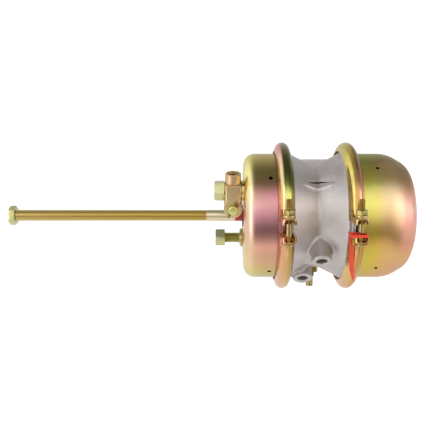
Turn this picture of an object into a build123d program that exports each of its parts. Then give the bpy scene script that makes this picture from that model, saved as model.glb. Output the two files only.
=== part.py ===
from build123d import *
from math import asin, cos, degrees, radians, sin, sqrt, tan
import os

# Double-diaphragm spring brake chamber, type 30/30, all sizes in millimetres.
# Frame: X runs along the chamber, from the push rod (-X) to the spring chamber (+X); +Z is up.
# The origin is the centre of the service housing's mounting face, on the push rod's axis.
# Rest position: no air, power spring extended, push rod at the end of its stroke.

# ---- stroke and fits ----
stroke = 63.5                 # full travel of push rod and spring piston
static_gap = 0.15             # between pieces that are bolted or pushed together
moving_gap = 0.3              # between pieces that pass each other
running_gap = 0.06            # radial, shaft in its bush

# ---- pressed steel service housing ----
housing_radius = 87.0
housing_wall = 3.2
housing_corner = 15.5
rod_hole_radius = 16.0
vent_radius = 2.7
housing_vent_x = 33.9
housing_vent_angles = (33.8, -60.2)       # above the near horizontal, each with one opposite

# ---- clamp planes, flanges and diaphragm beads ----
service_clamp_x = 53.3
spring_clamp_x = 142.5
flange_width = 6.4            # of the steel flanges, beyond the housings' sides
flange_radius = housing_radius + flange_width
bead_width = 12.4             # of a diaphragm's bead between the flanges
bead_inner_radius = flange_radius - bead_width
bead_steel_side = 2.7         # bead face towards the steel housing, from the clamp plane
bead_cast_side = 1.4          # bead face towards the casting

# ---- two-piece clamp rings ----
ring_sheet = 3.0
ring_rim_room = 6.2           # between the flanges' rims and the inside of the crown
ring_radius = flange_radius + ring_rim_room + ring_sheet
ring_crown_radius = 8.9
ring_flank_angle = 20.5       # from the radial plane
ring_grip = 2.9               # depth of the ring's legs over the flanges' rims
ring_leg_radius = flange_radius - ring_grip
joint_angle = -9.3            # of the bolted joint, above the near horizontal
joint_gap = 15.6              # between the ends of the two halves
ear_web = 16.8                # outer face of the ear's web from the joint plane
ear_width = 19.0
bolt_standoff = 13.4          # from the ring's outside to the bolts
ear_margin = 9.0              # from the bolts to the ears' ends
clamp_bolt_circle = ring_radius + bolt_standoff
ear_reach = clamp_bolt_circle + ear_margin
ear_sheet = 2.8
ear_bend = 7.0
ear_corner = 5.0
gusset_length = 14.0
gusset_sheet = 2.2

# ---- clamp bolts, M8 ----
clamp_bolt_radius = 4.0
clamp_bolt_tip = 39.0         # from the joint plane
clamp_head_radius = 6.5
clamp_head_height = 3.0
clamp_nut_flats = 13.0
clamp_nut_height = 6.8
clamp_nut_turn = 24.0
clamp_washer_radius = 8.0
clamp_washer_height = 1.8

# ---- cast flange case between the two clamps ----
waist_x = 98.5
bowl_step = 2.0               # of the bowls' mouths inside the beads
bowl_taper = 11.0
bowl_mouth_radius = bead_inner_radius - bowl_step
bowl_floor_radius = bowl_mouth_radius - bowl_taper
waist_cover = 1.5             # of the groove's waist beyond the bowls' floors
waist_radius = bowl_floor_radius + waist_cover
waist_slope = 0.5             # of the groove's flanks, radius over length
waist_rounding = 5.0
case_lip_depth = 4.0          # inside the ring's legs, where a flank ends
case_lip = ring_leg_radius - case_lip_depth
bowl_corner = 9.0
service_floor_x = 88.0
spring_floor_x = 109.0
plate_recess_radius = 30.0
plate_recess_depth = 5.0
notch_angle = 31.0            # of the step high on the near side of the groove
notch_span = 6.5              # degrees that the step's relief takes to run out
notch_tool_radius = 18.0
notch_depth = 3.6

# ---- air ports, both drilled along one direction ----
port_lean = 32.5              # of the ports' axes from straight down, towards the near side
port_offset = 26.6            # of each port's axis from the chamber's, one either side
spring_port_length = 20.0     # of the bosses beyond the waist's radius
service_port_length = 17.2
port_boss_radius = 13.5
port_root_radius = 3.5
port_hole_radius = 7.0
port_thread_depth = 16.0
port_passage_radius = 4.0
spring_port_x = 100.7
service_port_x = 81.3

# ---- storage pocket for the release bolt, at the back ----
pocket_top = 81.6
pocket_bottom = -75.0
pocket_near = 24.0
pocket_back = 4.0             # of the pocket's floor inside the bolt's axis
pocket_wall = 7.0
pocket_reach = 99.0
storage_x = 103.6
storage_standoff = 6.5        # of the bolt's axis beyond the waist
storage_y = waist_radius + storage_standoff
storage_web_depth = 12.0
storage_boss_radius = 13.0
storage_boss_top = 70.0

# ---- release bolt, 5/8 inch ----
release_bolt_radius = 7.94
release_bolt_step = -93.3
release_bolt_tip = -108.4
release_dog_radius = 5.5
release_tee_radius = 4.2
release_tee_length = 30.0
release_nut_flats = 24.0
release_nut_height = 9.5
release_washer_radius = 15.0
release_washer_height = 2.0

# ---- pressed steel spring chamber ----
chamber_radius = housing_radius
chamber_wall = 3.6
chamber_shoulder_x = 197.5
chamber_end_x = 237.3
dome_corners = ((0.683, 0.822), (0.882, 0.484), (1.0, 0.2))     # share of length, of radius
dome_rounding = (47.0, 23.0, 56.0, 18.0)
chamber_vent_x = 175.6
chamber_vent_radius = 2.4
chamber_vent_angles = (45.6, -53.9)
caging_hole_radius = 14.0
plug_flange_radius = 17.5
plug_flange_height = 2.2
plug_depth = 9.0
plug_wall = 2.0
plug_barb = 1.0

# ---- mounting studs and what is on them ----
stud_circle_radius = 60.325
stud_angle = 33.2             # of the upper stud above the near horizontal
stud_radius = 7.94
stud_end = 39.6               # beyond the mounting face
stud_head_radius = 12.0
stud_head_height = 5.0
stud_chamfer = 1.2
stud_nut_flats = 24.0
stud_nut_height = 14.0
upper_nut_turn = 10.0
lower_nut_turn = 30.0
lock_washer_radius = 13.5
lock_washer_height = 4.0
lock_washer_slit = 2.0

# ---- clevis yoke stored on the upper stud ----
yoke_tilt = 24.0              # of its threaded barrel from vertical, towards the near side
yoke_body_width = 21.6        # along the chamber
yoke_arm_span = 32.0          # over both arms, along the pin
yoke_slot = 16.4              # between the arms
yoke_slot_top = 8.3
yoke_shoulder = 12.0
yoke_barrel_end = 24.6
yoke_barrel_radius = 10.7
yoke_thread_radius = 7.4
yoke_eye_radius = 12.25
yoke_pin_drop = 21.0          # from stud axis to pin axis
pin_radius = 6.35
pin_stand = 6.0               # of the pin's near end beyond the arms
pin_head_radius = 9.2
pin_head_height = 4.2
pin_chamfer = 1.0
cotter_stand = 3.0            # of the cotter hole beyond the arms
cotter_radius = 1.45
cotter_hole_radius = 1.7
cotter_angle = 32.0           # of the cotter from the barrel's direction, in the pin's end view
cotter_eye_radius = 2.9
cotter_leg_length = 4.6
cotter_spread = 24.0

# ---- push rod, 5/8-18 ----
rod_radius = 7.94
rod_tip_x = -331.0
rod_chamfer = 1.2
jam_nut_x = -329.7            # outer face
jam_nut_height = 9.1
jam_nut_flats = 23.8
push_plate_x = 16.0           # spring side face of the push plate at rest
plate_room = 3.0              # of the push plate inside the bowls' floors
push_plate_radius = bowl_floor_radius - plate_room
push_plate_sheet = 4.0
push_plate_rim = 3.6
push_plate_bend = 3.0
rod_collar_radius = 14.0
rod_collar_height = 3.0
guide_flange_radius = 21.0
guide_flange_height = 2.4
guide_length = 6.5

# ---- diaphragms, springs and spring piston ----
diaphragm_thickness = 3.4
return_wire_radius = 1.8
return_spring_large = 40.0
return_spring_small = 27.0
return_spring_turns = 2.6
adapter_rod_radius = 12.5
adapter_plate_radius = 27.0
adapter_plate_height = 4.0
guide_bush_wall = 4.0
guide_bush_length = 7.4
seal_wire_radius = 1.95
pressure_plate_room = 4.5     # of the pressure plate inside the bowls' floors
pressure_plate_radius = bowl_floor_radius - pressure_plate_room
pressure_plate_height = 6.0
pressure_plate_hub = 34.0
pressure_plate_hub_height = 10.0
power_wire_radius = 5.6
power_spring_large = 50.0
power_spring_small = 40.0
power_spring_turns = 4.3
power_spring_end = 8.1        # from the closed end's outer face
service_disc_margin = 5.0     # of the diaphragm's flat disc beyond the push plate
service_disc_corner = 8.0

# ---- tamper seal strap, on the spring clamp ----
strap_thickness = 1.0
strap_height = 3.4
strap_above_ear = 0.6         # of its lower edge above the lower ear's mouth
strap_beside_ear = 3.2
strap_beside_bolt = 2.0
strap_behind_bolt = 3.0
strap_beyond_ear = 0.5
tail_width = 3.8              # beside the ear; below it the tail widens and swings over the ring
tail_left = ((-12.3, 17.5), (-11.2, 25.1), (-9.5, 35.3), (-7.0, 43.3), (-3.2, 50.5), (1.6, 58.1))
tail_right = ((-9.9, 25.5), (-5.2, 28.0), (-2.8, 35.3), (-1.0, 43.3), (0.9, 50.5), (2.9, 58.1))
tail_bend = 1.0               # the tail's edges: offset from the clamp plane, degrees down

# ---- worked-out places ----
pocket_far = storage_y - pocket_back
service_disc_radius = push_plate_radius + service_disc_margin
spring_port_face = waist_radius + spring_port_length
service_port_face = waist_radius + service_port_length
strap_place = strap_height / 2 + strap_above_ear - joint_gap / 2
strap_left = ear_width / 2 + strap_beside_ear + strap_thickness
strap_right = clamp_bolt_radius + strap_beside_bolt + strap_thickness
strap_inner = clamp_bolt_circle - clamp_bolt_radius - strap_behind_bolt
strap_outer = ear_reach + strap_beyond_ear + strap_thickness
flank = radians(ring_flank_angle)
crown_centre = ring_radius - ring_crown_radius
service_bead = (service_clamp_x - bead_steel_side, service_clamp_x + bead_cast_side)
spring_bead = (spring_clamp_x - bead_cast_side, spring_clamp_x + bead_steel_side)
push_plate_face = push_plate_x + push_plate_sheet
service_disc = (push_plate_face + moving_gap, push_plate_face + moving_gap + diaphragm_thickness)
adapter_plate_x = service_disc[1] + moving_gap
spring_disc = (spring_floor_x + moving_gap, spring_floor_x + moving_gap + diaphragm_thickness)
pressure_plate_x = spring_disc[1] + moving_gap
yoke_body_x = -(lock_washer_height + static_gap + yoke_body_width / 2)
stud_nut_seat = lock_washer_height + 2 * static_gap + yoke_body_width
power_spring_start = pressure_plate_x + pressure_plate_height
pin_near_end = yoke_arm_span / 2 + pin_stand
cotter_place = yoke_arm_span / 2 + cotter_stand


# ---------------------------------------------------------------- small helpers
def turned(points, radii=None):
    """Solid of revolution about the chamber's axis, from (x, radius) corners and their fillet radii."""
    corners = radii or [0] * len(points)
    return revolve(make_face(FilletPolyline(*points, radius=corners, close=True)), Axis.X)


def drum(radius, x0, x1):
    """Plain cylinder on the chamber's axis."""
    return Pos(x0, 0, 0) * Rot(0, 90, 0) * Cylinder(
        radius, x1 - x0, align=(Align.CENTER, Align.CENTER, Align.MIN)
    )


def rod(frame, radius, start, end):
    """Plain cylinder along a frame's z axis."""
    return frame * Pos(0, 0, start) * Cylinder(
        radius, end - start, align=(Align.CENTER, Align.CENTER, Align.MIN)
    )


def tube(frame, outer, inner, start, end):
    """Plain ring along a frame's z axis."""
    return rod(frame, outer, start, end) - rod(frame, inner, start - 1, end + 1)


def hex_nut(frame, flats, height, bore, turn=0.0):
    """Hexagon nut from the frame's origin along its z axis, both faces chamfered at the corners."""
    prism = extrude(RegularPolygon(flats / 2, 6, major_radius=False), height)
    corner = flats / sqrt(3)
    ease = (corner - flats / 2) * tan(radians(30)) * 1.15
    cone = (corner - flats / 2) * 1.15
    profile = Polyline(
        (0, 0), (corner * 1.01 - cone, 0), (corner * 1.01, ease),
        (corner * 1.01, height - ease), (corner * 1.01 - cone, height), (0, height), close=True,
    )
    barrel = revolve(Plane.XZ * make_face(profile), Axis.Z)
    nut = (prism & barrel) - Cylinder(bore, 4 * height)
    return frame * Rot(0, 0, turn) * nut


def near_direction(angle):
    """Unit radial direction at an angle above the near horizontal."""
    return Vector(0, -cos(radians(angle)), sin(radians(angle)))


def radial_frame(x, angle):
    """Frame whose z axis runs outwards along a radius of the chamber."""
    return Plane(origin=(x, 0, 0), x_dir=(1, 0, 0), z_dir=near_direction(angle))


def joint_frame(clamp_x):
    """Frame of a clamp's joint: x along the chamber, -y outwards to the near side, z along the bolts."""
    return Pos(clamp_x, 0, 0) * Rot(-joint_angle, 0, 0)


def ring_outer_radius(offset, proud=0.0):
    """Outer radius of a clamp ring at a distance from its middle plane, or of a skin proud of it."""
    crown = ring_crown_radius + proud
    if abs(offset) <= crown * cos(flank):
        return crown_centre + sqrt(crown**2 - offset**2)
    return crown_centre + (crown - abs(offset) * cos(flank)) / sin(flank)


def ring_half_width(radius, proud=0.0):
    """Half width of the ring's section at a radius on its flanks."""
    return (ring_crown_radius + proud - (radius - crown_centre) * sin(flank)) / cos(flank)


def ring_section(proud, leg_radius):
    """Face bounded by a clamp ring's outer surface, moved outwards by proud, down to the legs' radius."""
    crown = ring_crown_radius + proud
    foot = ring_half_width(leg_radius, proud)
    tangent_x, tangent_r = crown * cos(flank), crown_centre + crown * sin(flank)
    edges = [
        Line((-foot, leg_radius), (-tangent_x, tangent_r)),
        ThreePointArc((-tangent_x, tangent_r), (0, crown_centre + crown), (tangent_x, tangent_r)),
        Line((tangent_x, tangent_r), (foot, leg_radius)),
        Line((foot, leg_radius), (-foot, leg_radius)),
    ]
    return make_face(edges)


def flange_flank(radius):
    """Distance from the clamp plane to a flange's flank, where the ring grips it."""
    return ring_half_width(radius, -ring_sheet) - static_gap


# ---------------------------------------------------------------- steel housings
def service_housing():
    """Drawn steel pan: flat mounting face, round corner, flange gripped by the service clamp."""
    root = housing_radius + 1.5
    flange_outer = service_clamp_x - flange_flank(root)
    flange_rim = service_clamp_x - flange_flank(flange_radius)
    face_x = service_bead[0] - static_gap
    inner = housing_radius - housing_wall
    outer = turned(
        [(0, 0), (0, housing_radius), (flange_outer, housing_radius), (flange_outer, root),
         (flange_rim, flange_radius), (face_x, flange_radius), (face_x, 0)],
        [0, housing_corner, 0, 0, 0.8, 0.8, 0],
    )
    hollow = turned(
        [(housing_wall, 0), (housing_wall, inner), (face_x + 1, inner), (face_x + 1, 0)],
        [0, housing_corner - housing_wall, 0, 0],
    )
    pan = outer - hollow - drum(rod_hole_radius, -1, housing_wall + 1)
    for angle in (stud_angle, stud_angle + 180):
        centre = near_direction(angle) * stud_circle_radius
        pan -= Pos(0, centre.Y, centre.Z) * drum(stud_radius + static_gap, -1, housing_wall + 1)
    for angle in housing_vent_angles:
        for opposite in (0, 180):
            pan -= rod(radial_frame(housing_vent_x, angle + opposite), vent_radius, inner - 5,
                       housing_radius + 5)
    return pan


def moved_inwards(points, wall):
    """Corners of an open (x, radius) outline after every side moves a wall's thickness to its right."""
    sides = []
    for (x0, r0), (x1, r1) in zip(points, points[1:]):
        length = sqrt((x1 - x0) ** 2 + (r1 - r0) ** 2)
        normal = ((r1 - r0) / length, -(x1 - x0) / length)
        sides.append((normal, normal[0] * x0 + normal[1] * r0 + wall))
    corners = []
    for ((a, b), c), ((d, e), f) in zip(sides, sides[1:]):
        det = a * e - b * d
        corners.append(((c * e - b * f) / det, (a * f - c * d) / det))
    return corners


def bell(open_x, wall):
    """Solid inside the spring chamber's outline, or inside the outline a wall's thickness further in."""
    length = chamber_end_x - chamber_shoulder_x
    corners = [(chamber_shoulder_x + share_x * length, share_r * chamber_radius)
               for share_x, share_r in dome_corners]
    outline = [(open_x, chamber_radius), (chamber_shoulder_x, chamber_radius), *corners,
               (chamber_end_x, 0)]
    inset = moved_inwards(outline, wall)
    points = [(open_x, 0), (open_x, chamber_radius - wall), *inset, (inset[-1][0], 0)]
    return turned(points, [0, 0, *[max(size - wall, 1) for size in dome_rounding], 0])


def spring_chamber():
    """Drawn steel bell that holds the power spring, with its caging hole in the middle of the end."""
    root = chamber_radius + 1.5
    flange_inner = spring_clamp_x + flange_flank(root)
    flange_rim = spring_clamp_x + flange_flank(flange_radius)
    face_x = spring_bead[1] + static_gap
    inner = chamber_radius - chamber_wall
    flange = turned(
        [(face_x, inner - 1), (face_x, flange_radius), (flange_rim, flange_radius),
         (flange_inner, root), (flange_inner, inner - 1)],
        [0, 0.8, 0.8, 0, 0],
    )
    shell = bell(face_x, 0) + flange - bell(face_x - 1, chamber_wall)
    shell -= drum(caging_hole_radius, chamber_shoulder_x, chamber_end_x + 1)
    for angle in chamber_vent_angles:
        for opposite in (0, 180):
            shell -= rod(radial_frame(chamber_vent_x, angle + opposite), chamber_vent_radius,
                         inner - 5, chamber_radius + 5)
    return shell


def caging_port_plug():
    """Rubber dust plug pushed into the caging hole, hollow from the outside, held by a small barb."""
    neck = caging_hole_radius - static_gap
    seat = chamber_end_x + static_gap
    body = turned(
        [(seat + plug_flange_height, 0), (seat + plug_flange_height, plug_flange_radius),
         (seat, plug_flange_radius), (seat, neck), (chamber_end_x - chamber_wall - 1.2, neck),
         (chamber_end_x - chamber_wall - 2.2, neck + plug_barb), (seat - plug_depth, neck - 1.5),
         (seat - plug_depth, 0)],
        [0, 1.0, 0, 0, 0, 0, 0, 0],
    )
    return body - drum(neck - plug_wall, seat - plug_depth + plug_wall, seat + plug_flange_height + 1)


# ---------------------------------------------------------------- flange case
def case_radius(x):
    """Outer radius of the groove round the flange case."""
    return waist_radius + waist_slope * abs(x - waist_x)


def port_frame(x, offset):
    """Frame of an air port: z along the port, outwards, from the level of the chamber's axis."""
    lean = radians(port_lean)
    outwards = Vector(0, -sin(lean), -cos(lean))
    sideways = Vector(0, -cos(lean), sin(lean))
    centre = Vector(x, 0, 0) + sideways * offset
    return Plane(origin=centre, x_dir=(1, 0, 0), z_dir=outwards)


def case_body():
    """Outer form of the casting, before its bowls: two flanges with a V groove between them."""
    reach = (case_lip - waist_radius) / waist_slope
    service_face, spring_face = service_bead[1] + static_gap, spring_bead[0] - static_gap
    service_rim = service_clamp_x + flange_flank(flange_radius)
    service_root = service_clamp_x + flange_flank(case_lip + 1)
    spring_rim = spring_clamp_x - flange_flank(flange_radius)
    spring_root = spring_clamp_x - flange_flank(case_lip + 1)
    return turned(
        [(service_face, 0), (service_face, flange_radius), (service_rim, flange_radius),
         (service_root, case_lip + 1), (waist_x - reach, case_lip), (waist_x, waist_radius),
         (waist_x + reach, case_lip), (spring_root, case_lip + 1), (spring_rim, flange_radius),
         (spring_face, flange_radius), (spring_face, 0)],
        [0, 1.0, 1.0, 0, 0, waist_rounding, 0, 0, 1.0, 1.0, 0],
    )


def storage_pocket():
    """Cast web across the back of the groove, cored from behind on both sides of the bolt boss."""
    beside_ring = ring_half_width(ring_leg_radius) + 0.5
    left, right = service_clamp_x + beside_ring, spring_clamp_x - beside_ring
    middle_x, width = (left + right) / 2, right - left
    height, depth = pocket_top - pocket_bottom, pocket_far - pocket_near
    middle = (middle_x, (pocket_near + pocket_far) / 2, (pocket_top + pocket_bottom) / 2)
    block = Pos(*middle) * Box(width, depth, height)
    core = Box(width + 2, depth, height - 2 * pocket_wall)
    block -= Pos(middle[0], middle[1] + pocket_wall + 2 * depth / 3, middle[2]) * core
    block &= drum(pocket_reach, left, right)
    boss = rod(Pos(storage_x, storage_y, 0), storage_boss_radius, pocket_bottom, storage_boss_top)
    inner_edge = waist_radius - storage_web_depth
    web = Pos(storage_x, (inner_edge + storage_y) / 2, (pocket_bottom + storage_boss_top) / 2) * Box(
        storage_boss_radius, storage_y - inner_edge, storage_boss_top - pocket_bottom
    )
    return block + boss + web


def groove_notch():
    """Tool for the moulded step on the near side, where the groove is relieved above a sharp edge."""
    depth = waist_radius - notch_depth
    ring = revolve(
        Pos(waist_x, depth + notch_tool_radius) * Circle(notch_tool_radius), Axis.X
    )
    start, end = radians(notch_angle), radians(notch_angle + notch_span)
    far = case_radius(waist_x + notch_tool_radius) + 1
    corners = [
        (-far * cos(start), far * sin(start)), (-depth * cos(start), depth * sin(start)),
        (-(waist_radius + 1) * cos(end), (waist_radius + 1) * sin(end)),
        (-far * cos(end), far * sin(end)),
    ]
    wedge_face = make_face(Polyline(*corners, close=True))
    wedge = extrude(Plane.YZ * wedge_face, 2 * notch_tool_radius)
    return ring & (Pos(waist_x - notch_tool_radius, 0, 0) * wedge)


def flange_case():
    """Cast aluminium centre section: both diaphragm bowls, centre wall, air ports and storage pocket."""
    case = case_body()
    service_face, spring_face = service_bead[1] + static_gap, spring_bead[0] - static_gap
    ports = ((spring_port_x, port_offset, spring_port_face, spring_floor_x),
             (service_port_x, -port_offset, service_port_face, service_floor_x))
    for x, offset, face, floor_x in ports:
        boss = rod(port_frame(x, offset), port_boss_radius, waist_radius / 2, face)
        joined = case + boss
        case = fillet(new_edges(case, boss, combined=joined), port_root_radius)
    case = case + storage_pocket() - groove_notch()
    case -= turned(
        [(service_face - 1, 0), (service_face - 1, bowl_mouth_radius + 1),
         (service_face, bowl_mouth_radius), (service_floor_x, bowl_floor_radius),
         (service_floor_x, 0)],
        [0, 0, 0, bowl_corner, 0],
    )
    case -= turned(
        [(spring_face + 1, 0), (spring_face + 1, bowl_mouth_radius + 1),
         (spring_face, bowl_mouth_radius), (spring_floor_x, bowl_floor_radius), (spring_floor_x, 0)],
        [0, 0, 0, bowl_corner, 0],
    )
    case -= drum(plate_recess_radius, service_floor_x - 1, service_floor_x + plate_recess_depth)
    case -= drum(adapter_rod_radius + guide_bush_wall + static_gap, service_floor_x, spring_floor_x + 1)
    for x, offset, face, floor_x in ports:
        case -= rod(port_frame(x, offset), port_hole_radius, face - port_thread_depth, face + 1)
        start = sqrt((bowl_floor_radius - 10) ** 2 - port_offset**2)
        case -= rod(port_frame(floor_x, offset), port_passage_radius, start, face - 4)
    case -= rod(Pos(storage_x, storage_y, 0), release_bolt_radius + 2 * static_gap,
                pocket_bottom - 1, storage_boss_top + 1)
    return case


def centre_guide_bush():
    """Plain bush in the centre wall that guides the adapter rod."""
    start = service_floor_x + plate_recess_depth + static_gap
    outer, inner = adapter_rod_radius + guide_bush_wall, adapter_rod_radius + running_gap
    return drum(outer, start, start + guide_bush_length) - drum(inner, start - 1, spring_floor_x)


def centre_rod_seals():
    """Two O-rings on the spring side of the centre bush, round the adapter rod."""
    bush_end = service_floor_x + plate_recess_depth + static_gap + guide_bush_length
    middle = adapter_rod_radius + running_gap + seal_wire_radius
    seals = []
    for number in range(2):
        x = bush_end + static_gap + seal_wire_radius + number * (2 * seal_wire_radius + static_gap)
        seals.append(Pos(x, 0, 0) * Rot(0, 90, 0) * Torus(middle, seal_wire_radius))
    return Compound(seals)


# ---------------------------------------------------------------- clamp rings
def clamp_ear(web_side, near_side):
    """One bolting ear of a clamp half, in the joint's frame: a channel open towards the joint."""
    root = ring_leg_radius + 6
    tip, half = joint_gap / 2, ear_width / 2
    gusset_foot = clamp_bolt_circle - clamp_washer_radius - 1.5
    outside = FilletPolyline(
        (-half, tip), (half, tip), (half, ear_web), (-half, ear_web),
        radius=[0, 0, ear_bend, ear_bend], close=True,
    )
    inside = FilletPolyline(
        (-half + ear_sheet, tip - 1), (half - ear_sheet, tip - 1),
        (half - ear_sheet, ear_web - ear_sheet), (-half + ear_sheet, ear_web - ear_sheet),
        radius=[0, 0, ear_bend - ear_sheet, ear_bend - ear_sheet], close=True,
    )
    channel = extrude(Plane.XZ * (make_face(outside) - make_face(inside)), ear_reach)
    channel -= Pos(0, -root / 2, 0) * Box(4 * half, root, 4 * ear_web)
    plan = FilletPolyline(
        (-half, -root), (half, -root), (half, -ear_reach), (-half, -ear_reach),
        radius=[0, 0, ear_corner, ear_corner], close=True,
    )
    ear = channel & extrude(make_face(plan), 2 * ear_web)
    for hand in (-1, 1):
        lean = ear_web - ear_bend
        points = [(-root, lean), (-gusset_foot, lean), (-root, lean + gusset_length)]
        triangle = extrude(Plane.YZ * make_face(Polyline(*points, close=True)), gusset_sheet)
        edge = hand * half if hand < 0 else half - gusset_sheet
        ear += Pos(edge, 0, 0) * triangle
    ear -= rod(Pos(0, -clamp_bolt_circle, 0), clamp_bolt_radius + 2 * static_gap, tip, ear_web + 1)
    if near_side < 0:
        ear = mirror(ear, Plane.XZ)
    if web_side < 0:
        ear = mirror(ear, Plane.XY)
    return ear


def clamp_half(clamp_x, side):
    """Half of a rolled steel V clamp, with an ear at each end; side is +1 for the upper half."""
    section = ring_section(0, ring_leg_radius) - ring_section(-ring_sheet, ring_leg_radius - 1)
    ring = revolve(section, Axis.X)
    size = 3 * ring_radius
    keep = Pos(0, 0, side * (size + joint_gap) / 2) * Box(size, size, size)
    half = ring & keep
    for near_side in (1, -1):
        half += clamp_ear(side, near_side)
    inside = revolve(ring_section(-ring_sheet, ring_leg_radius - 1), Axis.X)
    return joint_frame(clamp_x) * (half - inside)


def on_both_joints(clamp_x, make):
    """The same fastener at the near joint and at the far one."""
    frames = [Pos(0, -clamp_bolt_circle, 0), Pos(0, clamp_bolt_circle, 0)]
    return Compound([joint_frame(clamp_x) * (frame * make()) for frame in frames])


def clamp_bolt():
    """Carriage bolt, from its mushroom head under the lower ear to its tip above the nut."""
    head_seat = -ear_web - static_gap
    shank = rod(Pos(0, 0, 0), clamp_bolt_radius, head_seat - 0.5, clamp_bolt_tip)
    shank = chamfer(shank.edges().sort_by(Axis.Z)[-1], 0.8)
    head = Pos(0, 0, head_seat) * Rot(180, 0, 0) * Cylinder(
        clamp_head_radius, clamp_head_height, align=(Align.CENTER, Align.CENTER, Align.MIN)
    )
    return shank + fillet(head.edges().sort_by(Axis.Z)[0], clamp_head_height * 0.7)


def clamp_washer():
    return tube(Pos(0, 0, 0), clamp_washer_radius, clamp_bolt_radius + 2 * static_gap,
                ear_web + static_gap, ear_web + static_gap + clamp_washer_height)


def clamp_nut():
    seat = ear_web + 2 * static_gap + clamp_washer_height
    return hex_nut(Pos(0, 0, seat), clamp_nut_flats, clamp_nut_height,
                   clamp_bolt_radius + running_gap, clamp_nut_turn)


def tamper_seal_strap():
    """Thin plastic strap looped round the lower ear's mouth and the bolt, its tail lying on the ring."""
    loop_middle = (strap_inner + strap_outer) / 2
    low, high = -strap_left, strap_right
    middle, width = (low + high) / 2, high - low
    depth = strap_outer - strap_inner
    loop = Pos(middle, -loop_middle, strap_place) * (
        Box(width, depth, strap_height)
        - Box(width - 2 * strap_thickness, depth - 2 * strap_thickness, strap_height + 1)
    )
    skin_radius = ring_radius + static_gap
    side = Pos(low + strap_thickness / 2, -(skin_radius + strap_inner) / 2, strap_place) * Box(
        strap_thickness, strap_inner - skin_radius + 2 * strap_thickness, strap_height
    )
    skin = drum(skin_radius + strap_thickness, low - 1, ear_width) - drum(skin_radius, low - 2,
                                                                        ear_width + 1)
    top = skin_radius * sin(radians(joint_angle)) + strap_place
    left_edge, right_edge = (
        [(offset, -skin_radius * sin(radians(down))) for offset, down in edge]
        for edge in (tail_left, tail_right)
    )
    outline = [(low, top), *left_edge, *reversed(right_edge), (low + tail_width, top)]
    bends = [0, *[tail_bend] * 5, 0.5, 0.5, *[tail_bend] * 5, 0]
    tail_face = make_face(FilletPolyline(*outline, radius=bends, close=True))
    tail = skin & extrude(Plane.XZ * tail_face, 2 * ring_radius)
    return Pos(spring_clamp_x, 0, 0) * (tail + Rot(-joint_angle, 0, 0) * (loop + side))


# ---------------------------------------------------------------- studs and stored yoke
def stud_frame(angle):
    """Frame on a stud's axis, z pointing away from the mounting face, the way the stud leaves it."""
    centre = near_direction(angle) * stud_circle_radius
    return Plane(origin=(0, centre.Y, centre.Z), x_dir=near_direction(angle), z_dir=(-1, 0, 0))


def mounting_stud(angle):
    frame = stud_frame(angle)
    inside = -housing_wall - static_gap
    shank = rod(frame, stud_radius, inside, stud_end)
    shank = chamfer(shank.edges().sort_by(Axis.X)[0], stud_chamfer)
    return shank + rod(frame, stud_head_radius, inside - stud_head_height, inside)


def stud_nut(angle, turn):
    frame = stud_frame(angle) * Pos(0, 0, stud_nut_seat)
    return hex_nut(frame, stud_nut_flats, stud_nut_height, stud_radius + running_gap, turn)


def stud_lock_washer(angle):
    """Split spring washer, its slit towards the near side."""
    frame = stud_frame(angle)
    ring = tube(frame, lock_washer_radius, stud_radius + 2 * static_gap, static_gap,
                lock_washer_height)
    slit = Pos(lock_washer_radius, 0, lock_washer_height / 2) * Rot(25, 0, 0) * Box(
        lock_washer_radius, lock_washer_slit, 3 * lock_washer_height
    )
    return ring - frame * slit


def yoke_frame():
    """Frame of the stored yoke: x along the chamber, y along its pin to the far side, z up its barrel."""
    centre = near_direction(stud_angle) * stud_circle_radius
    tilt = radians(yoke_tilt)
    return Plane(origin=(yoke_body_x, centre.Y, centre.Z), x_dir=(1, 0, 0),
                 z_dir=(0, -sin(tilt), cos(tilt)))


def clevis_yoke():
    """Forged fork with a threaded barrel; its two arms straddle the stud and carry the pin."""
    half = yoke_body_width / 2
    body = Pos(0, 0, (yoke_shoulder - yoke_pin_drop) / 2) * Box(
        yoke_body_width, yoke_arm_span, yoke_shoulder + yoke_pin_drop
    )
    body = fillet(body.edges().filter_by(Axis.Z), 3.0)
    body = chamfer(body.faces().sort_by(Axis.Z)[-1].edges(), 1.2)
    eye_axis = Pos(0, 0, -yoke_pin_drop) * Rot(90, 0, 0)
    body += eye_axis * Cylinder(yoke_eye_radius, yoke_arm_span)
    shoulder = rod(Pos(0, 0, 0), yoke_barrel_radius, half - 3, yoke_barrel_end)
    shoulder = chamfer(shoulder.edges().sort_by(Axis.Z)[-1], 0.8)
    yoke = body + shoulder
    deep = yoke_pin_drop + yoke_eye_radius + 1
    yoke -= Pos(0, 0, (yoke_slot_top - deep) / 2) * Box(
        3 * yoke_body_width, yoke_slot, yoke_slot_top + deep
    )
    yoke -= rod(Pos(0, 0, 0), yoke_thread_radius, 0, yoke_barrel_end + 1)
    yoke -= eye_axis * Cylinder(pin_radius + running_gap, yoke_arm_span + 2)
    return yoke_frame() * yoke


def clevis_pin():
    """Headed pin through both arms, its head on the far side, drilled for the cotter at the near end."""
    head_seat = yoke_arm_span / 2 + moving_gap
    frame = Pos(0, 0, -yoke_pin_drop) * Rot(-90, 0, 0)
    shank = chamfer(
        rod(Pos(0, 0, 0), pin_radius, -pin_near_end, head_seat).edges().sort_by(Axis.Z)[0], pin_chamfer
    )
    head = chamfer(
        rod(Pos(0, 0, 0), pin_head_radius, head_seat, head_seat + pin_head_height)
        .edges().sort_by(Axis.Z)[-1], pin_chamfer
    )
    pin = shank + head
    cross = Pos(0, 0, -cotter_place) * Rot(0, 0, cotter_angle) * Rot(90, 0, 0)
    pin -= cross * Cylinder(cotter_hole_radius, 3 * pin_radius)
    return yoke_frame() * (frame * pin)


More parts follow.
